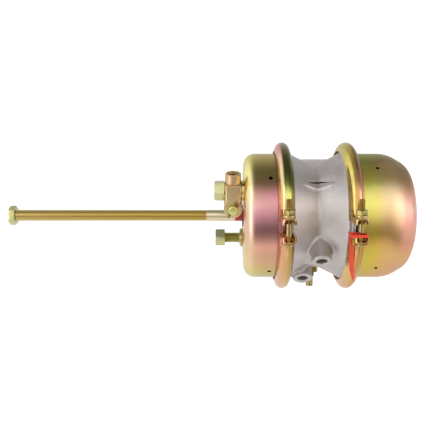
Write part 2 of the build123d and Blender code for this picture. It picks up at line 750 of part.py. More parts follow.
def clevis_cotter_pin():
    """Split cotter: round eye on one side of the pin, two legs spread on the other."""
    grip = pin_radius + 1.0
    body = Cylinder(cotter_radius, 2 * grip)
    eye = Pos(0, 0, -grip - cotter_eye_radius + 0.4) * Rot(0, 90, 0) * Torus(
        cotter_eye_radius - cotter_radius * 0.55, cotter_radius * 0.55
    )
    wire = cotter_radius * 0.62
    legs = []
    for hand in (-1, 1):
        leg = Cylinder(wire, cotter_leg_length, align=(Align.CENTER, Align.CENTER, Align.MIN))
        place = Pos(hand * (cotter_radius - wire), 0, grip - 0.8) * Rot(0, hand * cotter_spread, 0)
        legs.append(place * leg)
    cotter = body + eye + legs[0] + legs[1]
    frame = Pos(0, 0, -yoke_pin_drop) * Rot(-90, 0, 0) * Pos(0, 0, -cotter_place)
    return yoke_frame() * (frame * Rot(0, 0, cotter_angle) * Rot(90, 0, 0) * cotter)


# ---------------------------------------------------------------- push rod and service side
def push_rod():
    shank = drum(rod_radius, rod_tip_x, push_plate_x + push_plate_sheet)
    shank = chamfer(shank.edges().sort_by(Axis.X)[0], rod_chamfer)
    collar_start = push_plate_x - static_gap - rod_collar_height
    return shank + turned(
        [(collar_start, 0), (collar_start, rod_radius + 2.5),
         (push_plate_x - static_gap, rod_collar_radius), (push_plate_x - static_gap, 0)]
    )


def push_plate():
    """Pressed plate at the inner end of the push rod, its rim turned back towards the mounting face."""
    rim_x = push_plate_x - push_plate_rim
    inner = push_plate_radius - push_plate_sheet
    plate = turned(
        [(push_plate_face, 0), (push_plate_face, push_plate_radius), (rim_x, push_plate_radius),
         (rim_x, inner), (push_plate_x, inner), (push_plate_x, 0)],
        [0, push_plate_bend, 0.8, 0.8, 0.8, 0],
    )
    return plate - drum(rod_radius + static_gap, rim_x, push_plate_face + 1)


def jam_nut():
    frame = Plane(origin=(jam_nut_x, 0, 0), x_dir=(0, 0, 1), z_dir=(1, 0, 0))
    return hex_nut(frame, jam_nut_flats, jam_nut_height, rod_radius + running_gap)


def push_rod_guide():
    """Flanged plastic guide pressed into the housing's centre hole from inside."""
    seat = housing_wall + static_gap
    outer = rod_hole_radius - static_gap
    body = turned(
        [(seat - guide_length + 2, 0), (seat - guide_length + 2, outer - 1),
         (seat - guide_length + 3, outer), (seat, outer), (seat, guide_flange_radius),
         (seat + guide_flange_height, guide_flange_radius), (seat + guide_flange_height, 0)],
        [0, 0, 0, 0, 0.6, 0.6, 0],
    )
    return body - drum(rod_radius + running_gap, -guide_length, seat + guide_length)


def diaphragm(bead, mouth_radius, disc, disc_radius, corner, hole_radius):
    """Moulded rubber diaphragm, cupped towards the push rod: bead in the clamp, sloping wall, flat disc."""
    thickness = diaphragm_thickness
    bead_start, bead_end = bead[0] + static_gap, bead[1] - static_gap
    outer = flange_radius - 1
    cup = turned(
        [(bead_start, outer), (bead_end, outer), (bead_end, mouth_radius - thickness),
         (disc[1], disc_radius - thickness), (disc[1], 0), (disc[0], 0), (disc[0], disc_radius),
         (bead_start, mouth_radius)],
        [0.6, 0.6, 3.0, corner - thickness, 0, 0, corner, 0],
    )
    if hole_radius:
        cup -= drum(hole_radius, disc[0] - 1, disc[1] + 1)
    return cup


def coil_spring(wire, start_x, end_x, start_radius, end_radius, turns):
    """Conical coil spring on the chamber's axis, between the outer faces of its end coils."""
    x0, x1 = start_x + wire, end_x - wire
    length = x1 - x0
    lean = degrees(asin((end_radius - start_radius) / sqrt(length**2 + (end_radius - start_radius) ** 2)))
    path = Helix(length / turns, length, start_radius, center=(x0, 0, 0), direction=(1, 0, 0),
                 cone_angle=lean)
    section = Plane(origin=path @ 0, z_dir=path % 0) * Circle(wire)
    return sweep(section, path=path, is_frenet=True)


# ---------------------------------------------------------------- spring piston
def adapter_push_rod():
    """Rod through the centre wall that carries the spring piston's force to the service side."""
    start, end = adapter_plate_x, pressure_plate_x + pressure_plate_height
    shank = drum(adapter_rod_radius, start, end)
    return chamfer(shank.edges().sort_by(Axis.X)[0], 1.0)


def adapter_push_plate():
    """Round foot on the adapter rod, which pushes on the service diaphragm."""
    disc = turned(
        [(adapter_plate_x, 0), (adapter_plate_x, adapter_plate_radius),
         (adapter_plate_x + adapter_plate_height, adapter_plate_radius),
         (adapter_plate_x + adapter_plate_height, 0)],
        [0, 1.5, 0.8, 0],
    )
    return disc - drum(adapter_rod_radius + static_gap, adapter_plate_x - 1,
                       adapter_plate_x + adapter_plate_height + 1)


def pressure_plate():
    """Cast piston plate between the spring diaphragm and the power spring, with a locating hub."""
    back = pressure_plate_x + pressure_plate_height
    plate = turned(
        [(pressure_plate_x, 0), (pressure_plate_x, pressure_plate_radius),
         (back, pressure_plate_radius), (back, pressure_plate_hub),
         (back + pressure_plate_hub_height, pressure_plate_hub - 3),
         (back + pressure_plate_hub_height, 0)],
        [0, 2.5, 1.5, 1.0, 1.5, 0],
    )
    return plate - drum(adapter_rod_radius + static_gap, pressure_plate_x - 1,
                        back + pressure_plate_hub_height + 1)


# ---------------------------------------------------------------- release bolt
def release_bolt():
    """Caging bolt stored in the pocket: threaded shank, turned dog at its tip, cross pin at its head."""
    here = Pos(storage_x, storage_y, 0)
    tee_z = storage_boss_top + moving_gap + release_tee_radius
    shank = rod(here, release_bolt_radius, release_bolt_step, tee_z + release_tee_radius + 1)
    shank = chamfer(shank.edges().filter_by(GeomType.CIRCLE), 0.9)
    dog = rod(here, release_dog_radius, release_bolt_tip, release_bolt_step + 1)
    dog = fillet(dog.edges().sort_by(Axis.Z)[0], 1.8)
    tee = Pos(storage_x, storage_y, tee_z) * Rot(0, 90, 0) * Cylinder(
        release_tee_radius, release_tee_length
    )
    return shank + dog + tee


def release_bolt_washer():
    start = pocket_bottom - static_gap
    return tube(Pos(storage_x, storage_y, 0), release_washer_radius,
                release_bolt_radius + 2 * static_gap, start - release_washer_height, start)


def release_bolt_nut():
    start = pocket_bottom - 2 * static_gap - release_washer_height - release_nut_height
    return hex_nut(Pos(storage_x, storage_y, start), release_nut_flats, release_nut_height,
                   release_bolt_radius + running_gap, 12.0)


# ---------------------------------------------------------------- all nodes
lower_stud_angle = stud_angle + 180

parts = {
    "service_housing": service_housing(),
    "push_rod_guide": push_rod_guide(),
    "upper_mounting_stud": mounting_stud(stud_angle),
    "lower_mounting_stud": mounting_stud(lower_stud_angle),
    "upper_stud_lock_washer": stud_lock_washer(stud_angle),
    "lower_stud_lock_washer": stud_lock_washer(lower_stud_angle),
    "upper_stud_nut": stud_nut(stud_angle, upper_nut_turn),
    "lower_stud_nut": stud_nut(lower_stud_angle, lower_nut_turn),
    "clevis_yoke": clevis_yoke(),
    "clevis_pin": clevis_pin(),
    "clevis_cotter_pin": clevis_cotter_pin(),
    "push_rod": push_rod(),
    "push_plate": push_plate(),
    "jam_nut": jam_nut(),
    "service_return_spring": coil_spring(
        return_wire_radius, housing_wall + static_gap, push_plate_x - static_gap,
        return_spring_large, return_spring_small, return_spring_turns),
    "service_diaphragm": diaphragm(service_bead, bead_inner_radius - moving_gap, service_disc,
                                   service_disc_radius, service_disc_corner, 0),
    "flange_case": flange_case(),
    "centre_guide_bush": centre_guide_bush(),
    "centre_rod_seals": centre_rod_seals(),
    "adapter_push_rod": adapter_push_rod(),
    "adapter_push_plate": adapter_push_plate(),
    "spring_diaphragm": diaphragm(spring_bead, bowl_mouth_radius - 0.5, spring_disc,
                                  bowl_floor_radius - 0.5, bowl_corner,
                                  adapter_rod_radius + moving_gap),
    "pressure_plate": pressure_plate(),
    "power_spring": coil_spring(
        power_wire_radius, power_spring_start + static_gap, chamber_end_x - power_spring_end,
        power_spring_large, power_spring_small, power_spring_turns),
    "spring_chamber": spring_chamber(),
    "caging_port_plug": caging_port_plug(),
    "tamper_seal_strap": tamper_seal_strap(),
    "release_bolt": release_bolt(),
    "release_bolt_washer": release_bolt_washer(),
    "release_bolt_nut": release_bolt_nut(),
}
for name, clamp_x in (("service", service_clamp_x), ("spring", spring_clamp_x)):
    parts[f"{name}_clamp_upper_half"] = clamp_half(clamp_x, 1)
    parts[f"{name}_clamp_lower_half"] = clamp_half(clamp_x, -1)
    parts[f"{name}_clamp_bolts"] = on_both_joints(clamp_x, clamp_bolt)
    parts[f"{name}_clamp_washers"] = on_both_joints(clamp_x, clamp_washer)
    parts[f"{name}_clamp_nuts"] = on_both_joints(clamp_x, clamp_nut)

os.makedirs("parts", exist_ok=True)
for name, shape in parts.items():
    export_step(shape, f"parts/{name}.step")
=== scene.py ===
from math import atan2, cos, degrees, exp, hypot, pi, radians, sin, tan

import bmesh
import bpy
from mathutils import Matrix, Vector


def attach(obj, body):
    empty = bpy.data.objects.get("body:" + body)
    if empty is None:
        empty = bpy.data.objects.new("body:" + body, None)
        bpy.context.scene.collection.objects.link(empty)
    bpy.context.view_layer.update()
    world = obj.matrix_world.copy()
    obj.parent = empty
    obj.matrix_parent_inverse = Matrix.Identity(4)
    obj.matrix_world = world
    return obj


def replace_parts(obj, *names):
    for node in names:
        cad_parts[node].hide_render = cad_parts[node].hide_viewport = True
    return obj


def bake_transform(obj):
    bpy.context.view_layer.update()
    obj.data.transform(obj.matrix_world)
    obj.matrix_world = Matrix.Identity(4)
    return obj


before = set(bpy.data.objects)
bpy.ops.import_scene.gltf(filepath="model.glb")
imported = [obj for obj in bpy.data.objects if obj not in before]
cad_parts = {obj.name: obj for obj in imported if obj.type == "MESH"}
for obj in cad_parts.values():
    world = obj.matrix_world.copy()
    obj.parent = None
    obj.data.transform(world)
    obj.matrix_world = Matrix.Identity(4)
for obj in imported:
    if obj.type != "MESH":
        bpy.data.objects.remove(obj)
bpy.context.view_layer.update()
mm = 0.001


# ------------------------------------------------------------------ service housing
# Drawn steel pan of 3.2 mm sheet. It carries the studs and holds the service diaphragm. It is zinc
# plated and yellow chromated: the thin chromate film gives olive, pink, plum and peach bands, and
# painted highlights and painted reflections of the lamps and the room lie among them.
def linear(colour):
    """Linear RGBA from an sRGB hex colour."""
    parts = [int(colour[i:i + 2], 16) / 255 for i in (1, 3, 5)]
    return [p / 12.92 if p <= 0.04045 else ((p + 0.055) / 1.055) ** 2.4 for p in parts] + [1.0]


def add(tree, kind, settings=None, inputs=None):
    """Adds a node to a tree, with its settings, and its inputs as values or links."""
    node = tree.nodes.new(kind)
    for name, value in (settings or {}).items():
        setattr(node, name, value)
    for name, value in (inputs or {}).items():
        if isinstance(value, bpy.types.NodeSocket):
            tree.links.new(value, node.inputs[name])
        else:
            node.inputs[name].default_value = value
    return node


def set_stops(ramp, stops):
    """Colour stops of a Color Ramp node, each a place from 0 to 1 and a hex colour."""
    elements = ramp.color_ramp.elements
    while len(elements) < len(stops):
        elements.new(0.5)
    for element, (place, colour) in zip(elements, stops):
        element.position, element.color = place, linear(colour)


def principled(name, **values):
    """A material with its own Principled shader; returns the material, its tree and the shader."""
    material = bpy.data.materials.new(name)
    material.use_nodes = True
    tree = material.node_tree
    tree.nodes.clear()
    values = {key.replace("_", " "): value for key, value in values.items()}
    shader = add(tree, "ShaderNodeBsdfPrincipled", inputs=values)
    add(tree, "ShaderNodeOutputMaterial", inputs={"Surface": shader.outputs[0]})
    return material, tree, shader


def chromated_zinc_with_painted_light(name, bands, second, split, drift, roughness, mottle, tints, along):
    """Zinc with a yellow chromate coating. bands are (degrees above the near side, colour) round the
    chamber, second takes over from them between the two places of split, and along is (millimetres
    along the chamber, colour) that multiplies them. These colours are partly the coating's own and
    partly painted highlights and painted reflections of the lamps and the room."""
    material, tree, shader = principled(name, Metallic=1.0, Roughness=roughness)
    place = add(tree, "ShaderNodeTexCoord").outputs["Object"]
    axes = add(tree, "ShaderNodeSeparateXYZ", inputs={0: place})
    near = add(tree, "ShaderNodeMath", {"operation": "MULTIPLY"}, {0: axes.outputs["Y"], 1: -1.0})
    angle = add(tree, "ShaderNodeMath", {"operation": "ARCTAN2"},
                {0: axes.outputs["Z"], 1: near.outputs[0]})
    turn = add(tree, "ShaderNodeMapRange", inputs={
        "Value": angle.outputs[0], "From Min": -pi, "From Max": pi, "To Min": 0.0, "To Max": 1.0})
    band_waver, patch_size = 55, 26
    clouds = add(tree, "ShaderNodeTexNoise", inputs={
        "Vector": place, "Scale": 1 / (band_waver * mm), "Detail": 2.0, "Roughness": 0.5})
    shift = add(tree, "ShaderNodeMapRange", inputs={
        "Value": clouds.outputs["Fac"], "From Min": 0.25, "From Max": 0.75,
        "To Min": -drift / 360, "To Max": drift / 360})
    total = add(tree, "ShaderNodeMath", {"operation": "ADD"},
                {0: turn.outputs[0], 1: shift.outputs[0]})
    # The ramps round the chamber paint highlights and reflections of the lamps and the room into the
    # film's colours.
    round_it = []
    for stops in (bands, second):
        ramp = add(tree, "ShaderNodeValToRGB", inputs={"Fac": total.outputs[0]})
        set_stops(ramp, [((degree + 180) / 360, colour) for degree, colour in stops])
        round_it.append(ramp.outputs["Color"])
    change = add(tree, "ShaderNodeMapRange", {"interpolation_type": "SMOOTHSTEP"}, {
        "Value": axes.outputs["X"], "From Min": split[0] * mm, "From Max": split[1] * mm})
    banded = add(tree, "ShaderNodeMix", {"data_type": "RGBA"}, {
        0: change.outputs[0], 6: round_it[0], 7: round_it[1]})
    patches = add(tree, "ShaderNodeTexNoise", inputs={
        "Vector": place, "Scale": 1 / (patch_size * mm), "Detail": 4.0, "Roughness": 0.6})
    tint = add(tree, "ShaderNodeValToRGB", inputs={"Fac": patches.outputs["Fac"]})
    set_stops(tint, [(0.38, tints[0]), (0.62, tints[1])])
    surface_tone = add(tree, "ShaderNodeMix", {"data_type": "RGBA"}, {
        0: mottle, 6: banded.outputs[2], 7: tint.outputs["Color"]})
    # The ramp along the chamber brightens or darkens them, partly as painted highlight and painted
    # reflection.
    start, end = along[0][0], along[-1][0]
    reach = add(tree, "ShaderNodeMapRange", inputs={
        "Value": axes.outputs["X"], "From Min": start * mm, "From Max": end * mm})
    cast_over = add(tree, "ShaderNodeValToRGB", inputs={"Fac": reach.outputs[0]})
    set_stops(cast_over, [((x - start) / (end - start), colour) for x, colour in along])
    deepened = add(tree, "ShaderNodeMix", {"data_type": "RGBA", "blend_type": "MULTIPLY"}, {
        0: 1.0, 6: surface_tone.outputs[2], 7: cast_over.outputs["Color"]})
    tree.links.new(deepened.outputs[2], shader.inputs["Base Color"])
    return material


def rounded(corners, steps):
    """Points of an outline whose (x, radius, fillet) corners are rounded, in millimetres."""
    points = []
    for number, (x, r, fillet) in enumerate(corners):
        here = Vector((x, r))
        if not fillet:
            points.append(here)
            continue
        before = Vector(corners[number - 1][:2]) - here
        after = Vector(corners[(number + 1) % len(corners)][:2]) - here
        before.normalize()
        after.normalize()
        half = before.angle(after) / 2
        centre = here + (before + after).normalized() * fillet / sin(half)
        start = here + before * fillet / tan(half) - centre
        turn = start.angle_signed(here + after * fillet / tan(half) - centre)
        for step in range(steps + 1):
            angle = -turn * step / steps
            points.append(centre + Vector((start.x * cos(angle) - start.y * sin(angle),
                                           start.x * sin(angle) + start.y * cos(angle))))
    return points


def turned_mesh(corners, segments, steps=8):
    """Closed mesh turned about the chamber's axis from a closed outline of (x, radius, fillet)
    corners in millimetres."""
    outline = rounded(corners, steps)
    shape = bmesh.new()
    rings = []
    for number in range(segments):
        angle = 2 * pi * number / segments
        rings.append([shape.verts.new((p.x * mm, p.y * mm * sin(angle), p.y * mm * cos(angle)))
                      for p in outline])
    for ring, following in zip(rings, rings[1:] + rings[:1]):
        for number in range(len(outline)):
            after = (number + 1) % len(outline)
            if outline[number].y == 0 and outline[after].y == 0:
                continue
            shape.faces.new((ring[number], ring[after], following[after], following[number]))
    bmesh.ops.remove_doubles(shape, verts=shape.verts, dist=1e-7)
    bmesh.ops.recalc_face_normals(shape, faces=shape.faces)
    mesh = bpy.data.meshes.new("turned")
    shape.to_mesh(mesh)
    shape.free()
    return mesh


def piece(name, mesh, material, body, nodes, sharp=32):
    """A finished piece at the origin, smooth but for its sharp edges, standing for its CAD nodes."""
    mesh.name = name
    mesh.materials.clear()
    mesh.materials.append(material)
    mesh.shade_smooth()
    mesh.set_sharp_from_angle(angle=radians(sharp))
    thing = bpy.data.objects.new(name, mesh)
    bpy.context.scene.collection.objects.link(thing)
    if body:
        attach(thing, body)
    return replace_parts(thing, *nodes)


def applied(thing):
    """The object's evaluated mesh, with its modifiers in it; the object itself goes."""
    bpy.context.view_layer.update()
    graph = bpy.context.evaluated_depsgraph_get()
    mesh = bpy.data.meshes.new_from_object(thing.evaluated_get(graph))
    bpy.data.objects.remove(thing)
    return mesh


def loose(name, mesh):
    """A working object that carries a mesh while modifiers act on it."""
    thing = bpy.data.objects.new(name, mesh)
    bpy.context.scene.collection.objects.link(thing)
    return thing


def cylinder_mesh(radius, start, end, place, segments=48):
    """Plain cylinder along the z axis of a place, in millimetres."""
    shape = bmesh.new()
    bmesh.ops.create_cone(shape, cap_ends=True, segments=segments, radius1=radius * mm,
                          radius2=radius * mm, depth=(end - start) * mm)
    bmesh.ops.translate(shape, verts=shape.verts, vec=(0, 0, (start + end) / 2 * mm))
    mesh = bpy.data.meshes.new("cylinder")
    shape.to_mesh(mesh)
    shape.free()
    mesh.transform(place)
    return mesh


def joined(meshes):
    """One mesh from several."""
    shape = bmesh.new()
    for mesh in meshes:
        shape.from_mesh(mesh)
    mesh = bpy.data.meshes.new("joined")
    shape.to_mesh(mesh)
    shape.free()
    return mesh


def drilled(mesh, tools):
    """The mesh with holes cut where the tools are."""
    body, cutter = loose("drilled", mesh), loose("tools", joined(tools))
    cut = body.modifiers.new("holes", "BOOLEAN")
    cut.object, cut.operation, cut.solver = cutter, "DIFFERENCE", "EXACT"
    result = applied(body)
    bpy.data.objects.remove(cutter)
    return result


def facing(outwards):
    """Turn that brings the z axis to this direction, square to the chamber's axis."""
    along = Vector((1, 0, 0))
    return Matrix((along, outwards.cross(along), outwards)).transposed().to_4x4()


def vent_tools(radius, x, angles):
    """Drills for vents at these degrees above the near side, each with one opposite."""
    tools, drill_start, drill_end = [], 75, 95
    for angle in (radians(above + turn) for above in angles for turn in (0, 180)):
        place = Matrix.Translation((x * mm, 0, 0)) @ facing(Vector((0, -cos(angle), sin(angle))))
        tools.append(cylinder_mesh(radius, drill_start, drill_end, place, 24))
    return tools


def on_stud_circle(tilt, turn):
    """Place on the mounting face, tilt degrees above the near side, with its z turned along x."""
    centre = Vector((0, -stud_circle * cos(radians(tilt)), stud_circle * sin(radians(tilt)))) * mm
    return Matrix.Translation(centre) @ Matrix.Rotation(turn, 4, "Y")


# Smooth drawn sheet: gold on the rounded corner, then rose, plum and olive bands down the side.
# The gold on the corner is a painted highlight, and the bands down the side are partly the film's
# colours and partly painted highlights and a dark painted reflection.
pan_chromate_and_painted_light = chromated_zinc_with_painted_light(
    "yellow_chromate_on_drawn_pan",
    bands=[(-180, "#B9AE78"), (-78, "#DCD48E"), (-50, "#F0DCB0"), (-22, "#F0C8B4"), (4, "#F2CCC6"),
           (22, "#FFEEC8"), (40, "#FFF4B4"), (62, "#F0E694"), (100, "#D2C87E"), (180, "#B9AE78")],
    second=[(-180, "#B9AE78"), (-120, "#B98E90"), (-78, "#C6CC80"), (-60, "#D8CC80"),
            (-46, "#E4BE98"), (-30, "#E4AE9C"), (-16, "#B47E86"), (-6, "#C68E9A"),
            (10, "#E6AEB4"), (22, "#D09A98"), (32, "#A48A60"), (46, "#A2965A"),
            (60, "#CFC46E"), (100, "#CCC47A"), (180, "#B9AE78")],
    split=(6, 15), drift=6, roughness=0.30, mottle=0.1, tints=("#D8969C", "#B8B862"),
    along=[(0, "#FFFFE6"), (12, "#FFFFF4"), (24, "#F4EAE8"), (50, "#F0E4E0")])

sheet, housing_radius, housing_corner = 3.2, 87.0, 15.5
inside_radius, flange_radius, flange_root = 83.8, 93.4, 88.9
pan_flange, pan_mouth = 47.04, 50.45
rod_hole, stud_hole, stud_circle, stud_tilt = 16.0, 8.09, 60.325, 33.2
pan = turned_mesh([
    (0, rod_hole, 0), (0, housing_radius, housing_corner), (45.0, housing_radius, 1.2),
    (45.6, flange_root, 1.0), (pan_flange, flange_radius, 0.8), (pan_mouth, flange_radius, 0.8),
    (pan_mouth, inside_radius, 0), (sheet, inside_radius, housing_corner - sheet),
    (sheet, rod_hole, 0)], 192, 12)
vent_radius, vent_x, vent_angles = 2.7, 33.9, (33.8, -60.2)
holes = vent_tools(vent_radius, vent_x, vent_angles)
holes += [cylinder_mesh(stud_hole, -2, 6, on_stud_circle(tilt, pi / 2), 40)
          for tilt in (stud_tilt, stud_tilt + 180)]
piece("service_housing_pan", drilled(pan, holes), pan_chromate_and_painted_light, "chamber", ["service_housing"])


# ------------------------------------------------------------------ spring chamber
# Drawn steel bell over the power spring, domed at its closed end, with vents and a plugged caging
# hole. It has the same plating, in broader bands of olive and gold that turn to rose on the dome.
# The pale gold and the rose are partly a painted highlight, and the dark olive above them partly a
# painted reflection.
bell_chromate_and_painted_light = chromated_zinc_with_painted_light(
    "yellow_chromate_on_spring_bell",
    bands=[(-180, "#C2B09C"), (-120, "#C9A897"), (-75, "#D0A488"), (-58, "#DCB488"),
           (-40, "#E4C08C"), (-30, "#DCB67C"), (-20, "#BA9760"), (-12, "#C8A67C"), (0, "#E8D0AC"),
           (14, "#FAE8CC"), (26, "#FFF0D4"), (37, "#CDB88A"), (52, "#867E53"), (70, "#9A986A"),
           (86, "#9AA8A0"), (110, "#B4B293"), (180, "#C2B09C")],
    second=[(-180, "#C2B09C"), (-75, "#D0A680"), (-55, "#DCB07C"), (-38, "#E4B07C"),
            (-24, "#DCA090"), (-8, "#F0B8AC"), (10, "#FFD4CC"), (24, "#F4C4AC"), (34, "#C49A7C"),
            (48, "#8E7650"), (66, "#948A5C"), (86, "#A0A080"), (180, "#C2B09C")],
    split=(190, 214), drift=8, roughness=0.40, mottle=0.14, tints=("#E8B0B4", "#C4CC88"),
    along=[(145, "#EEFFA8"), (168, "#F8FFA0"), (181, "#FFF5D0"), (200, "#FFF4E4"),
           (238, "#FFF8F0")])

bell_mouth, bell_flange, bell_inside, bell_end = 145.35, 148.76, 83.4, 237.3
bell_wall, caging_hole = 3.6, 14
bell_vent_radius, bell_vent_x, bell_vent_angles = 2.4, 175.6, (45.6, -53.9)
bell = turned_mesh([
    (bell_mouth, bell_inside, 0), (bell_mouth, flange_radius, 0.8),
    (bell_flange, flange_radius, 0.8), (150.2, flange_root, 1.0), (150.8, housing_radius, 1.2),
    (197.5, housing_radius, 47), (224.68, 71.51, 23), (232.6, 42.11, 56), (bell_end, 17.4, 18),
    (bell_end, caging_hole, 0), (bell_end - bell_wall, caging_hole, 0),
    (bell_end - bell_wall, 17.1, 14.4), (229.1, 41.2, 52.4), (221.6, 69.1, 19.4),
    (196.55, bell_inside, 43.4)], 192, 14)
vents = vent_tools(bell_vent_radius, bell_vent_x, bell_vent_angles)
piece("spring_chamber_bell", drilled(bell, vents), bell_chromate_and_painted_light, "chamber", ["spring_chamber"])


# ------------------------------------------------------------------ flange case
# Cast aluminium centre section with both diaphragm bowls, the two air port bosses and the pocket for
# the release bolt. It is shot blasted and left bare: light grey and matt, with soft moulded corners.
def cad_copy(*nodes):
    """One mesh of these CAD nodes' solids, its loose triangles merged and flat faces made whole."""
    shape = bmesh.new()
    for node in nodes:
        shape.from_mesh(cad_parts[node].data)
    bmesh.ops.remove_doubles(shape, verts=shape.verts, dist=2e-6)
    bmesh.ops.dissolve_limit(shape, angle_limit=radians(0.5), verts=shape.verts, edges=shape.edges)
    mesh = bpy.data.meshes.new(nodes[0])
    shape.to_mesh(mesh)
    shape.free()
    return mesh


# Shot blasting leaves a fine grain that spreads the gloss, drawn coarser than its real half
# millimetre so that it shows, and the mould leaves faint grey stains.
cast, tree, shader = principled("bare_cast_aluminium", Metallic=0.85)
blast_grain, mould_stain = 2.2, 38
place = add(tree, "ShaderNodeTexCoord").outputs["Object"]
grain = add(tree, "ShaderNodeTexNoise", inputs={
    "Vector": place, "Scale": 1 / (blast_grain * mm), "Detail": 4.0, "Roughness": 0.6})
stain = add(tree, "ShaderNodeTexNoise", inputs={
    "Vector": place, "Scale": 1 / (mould_stain * mm), "Detail": 3.0, "Roughness": 0.55})
shade = add(tree, "ShaderNodeValToRGB", inputs={"Fac": stain.outputs["Fac"]})
set_stops(shade, [(0.35, "#BCB4B1"), (0.65, "#CCC5C2")])
rough = add(tree, "ShaderNodeMapRange", inputs={
    "Value": grain.outputs["Fac"], "To Min": 0.36, "To Max": 0.50})
bump = add(tree, "ShaderNodeBump", inputs={
    "Height": grain.outputs["Fac"], "Strength": 0.25, "Distance": 0.3 * mm})
tree.links.new(shade.outputs["Color"], shader.inputs["Base Color"])
tree.links.new(rough.outputs[0], shader.inputs["Roughness"])
tree.links.new(bump.outputs[0], shader.inputs["Normal"])
# Painted shade: the tapped bores of the ports and the slot's inner faces take a darker colour for
# the shade that falls in them.
painted_recess_shade = principled(
    "oiled_dark_thread_in_aluminium", Base_Color=linear("#86807F"), Metallic=0.6, Roughness=0.6)[0]

# One skin over the whole casting rounds its corners, as the mould does.
casting = loose("casting", cad_copy("flange_case"))
skin = casting.modifiers.new("mould_skin", "REMESH")
skin.mode, skin.voxel_size = "VOXEL", 1.45 * mm
soften = casting.modifiers.new("soft_corners", "SMOOTH")
soften.factor, soften.iterations = 0.5, 3
dressed = applied(casting)

# The groove is carried round at one radius over the slot's place, as it is lower on the near side.
near_side, slot_x, slot_z, groove_z = -30, (76, 120), (26, 52), (-4, 20)
waist = {}
for vertex in dressed.vertices:
    x, y, z = vertex.co / mm
    if y < near_side and groove_z[0] < z < groove_z[1] and slot_x[0] - 2 < x < slot_x[1] + 2:
        waist[round(x)] = max(waist.get(round(x), 0.0), hypot(y, z))

# The slot's lip is a raised ridge in a shallow V, with a hollow above it.
lip_x, lip_z, lip_slope, lip_half = 97.0, 34.6, 0.37, 22
lip_proud, lip_width, hollow_deep, hollow_width, hollow_above = 1.1, 1.7, 1.3, 3.6, 6.0
for vertex in dressed.vertices:
    x, y, z = vertex.co / mm
    if y < near_side and slot_z[0] < z < slot_z[1] and slot_x[0] < x < slot_x[1]:
        level = waist[int(x)] + (waist[int(x) + 1] - waist[int(x)]) * (x - int(x))
        if 8 > level - hypot(y, z) > 0.25:
            vertex.co *= Vector((1, level / hypot(y, z), level / hypot(y, z)))
            x, y, z = vertex.co / mm
    crest = lip_z + lip_slope * (abs(x - lip_x) ** 2 + 9) ** 0.5
    fade = max(0.0, 1 - (abs(x - lip_x) / lip_half) ** 4)
    if y < near_side and fade:
        proud = lip_proud * exp(-((z - crest + 0.6) / lip_width) ** 2)
        sunk = hollow_deep * exp(-((z - crest - hollow_above) / hollow_width) ** 2)
        away = Vector((0, y, z)).normalized()
        vertex.co += away * (proud - (sunk if z > crest else 0.0)) * fade * mm


def slot_tool(corners, reach, lift):
    """Cutter for the moulded slot: this outline across the chamber, rising as it goes in."""
    shape = bmesh.new()
    rows = [[shape.verts.new((x * mm, y * mm, (z + rise) * mm)) for x, z in corners]
            for y, rise in ((-reach[0], 0.0), (-reach[1], lift))]
    shape.faces.new(rows[0])
    shape.faces.new(rows[1][::-1])
    for k in range(len(corners)):
        after = (k + 1) % len(corners)
        shape.faces.new((rows[0][k], rows[1][k], rows[1][after], rows[0][after]))
    bmesh.ops.recalc_face_normals(shape, faces=shape.faces)
    mesh = bpy.data.meshes.new("slot_tool")
    shape.to_mesh(mesh)
    shape.free()
    return mesh


slot_start, slot_end, slot_rise = 75, 48, 6
tools = [slot_tool([(81.5, 40.9), (89, 38.8), (97, 36.9), (105, 38.8), (114.3, 41.1), (105, 40.2),
                    (97, 39.7), (89, 40.0)], (slot_start, slot_end), slot_rise)]

# The two ports point down and a little forwards; each has a tapped bore in a machined face.
port_lean = radians(32.5)
outwards = Vector((0, -sin(port_lean), -cos(port_lean)))
sideways = Vector((0, -cos(port_lean), sin(port_lean)))
ports = ((100.7, 26.6, 89.5), (81.3, -26.6, 86.7))      # x, distance sideways, machined face
bore_radius, bore_depth, face_radius, face_cut = 7.0, 16, 15.0, 0.25
for x, offset, end in ports:
    centre = Vector((x * mm, 0, 0)) + sideways * offset * mm
    place = Matrix.Translation(centre) @ facing(outwards)
    tools.append(cylinder_mesh(bore_radius, end - bore_depth, end + 1, place, 48))
    tools.append(cylinder_mesh(face_radius, end - face_cut, end + 3, place, 64))
body = piece("flange_case_casting", drilled(dressed, tools), cast, "chamber", ["flange_case"],
             40)

# The painted shade goes on the bores' walls and floors, and on the slot's inner faces.
body.data.materials.append(painted_recess_shade)
for face in body.data.polygons:
    depth = face.center.dot(outwards)
    for x, offset, end in ports:
        side = face.center - Vector((x * mm, 0, 0)) - sideways * offset * mm
        inside = (side - outwards * side.dot(outwards)).length < (bore_radius - 0.005) * mm
        wall, floor = abs(face.normal.dot(outwards)) < 0.5, depth < (end - 12) * mm
        if inside and (end - bore_depth - 1) * mm < depth < (end - 0.1) * mm and (wall or floor):
            face.material_index = 1
    x, y, z = face.center / mm
    in_slot = 80 < x < 116 and 35 < z < 48 and y < -44
    level, inward = abs(face.normal.z) > 0.86, face.normal.y > -0.4 or y > -50
    if in_slot and (level or inward):
        face.material_index = 1


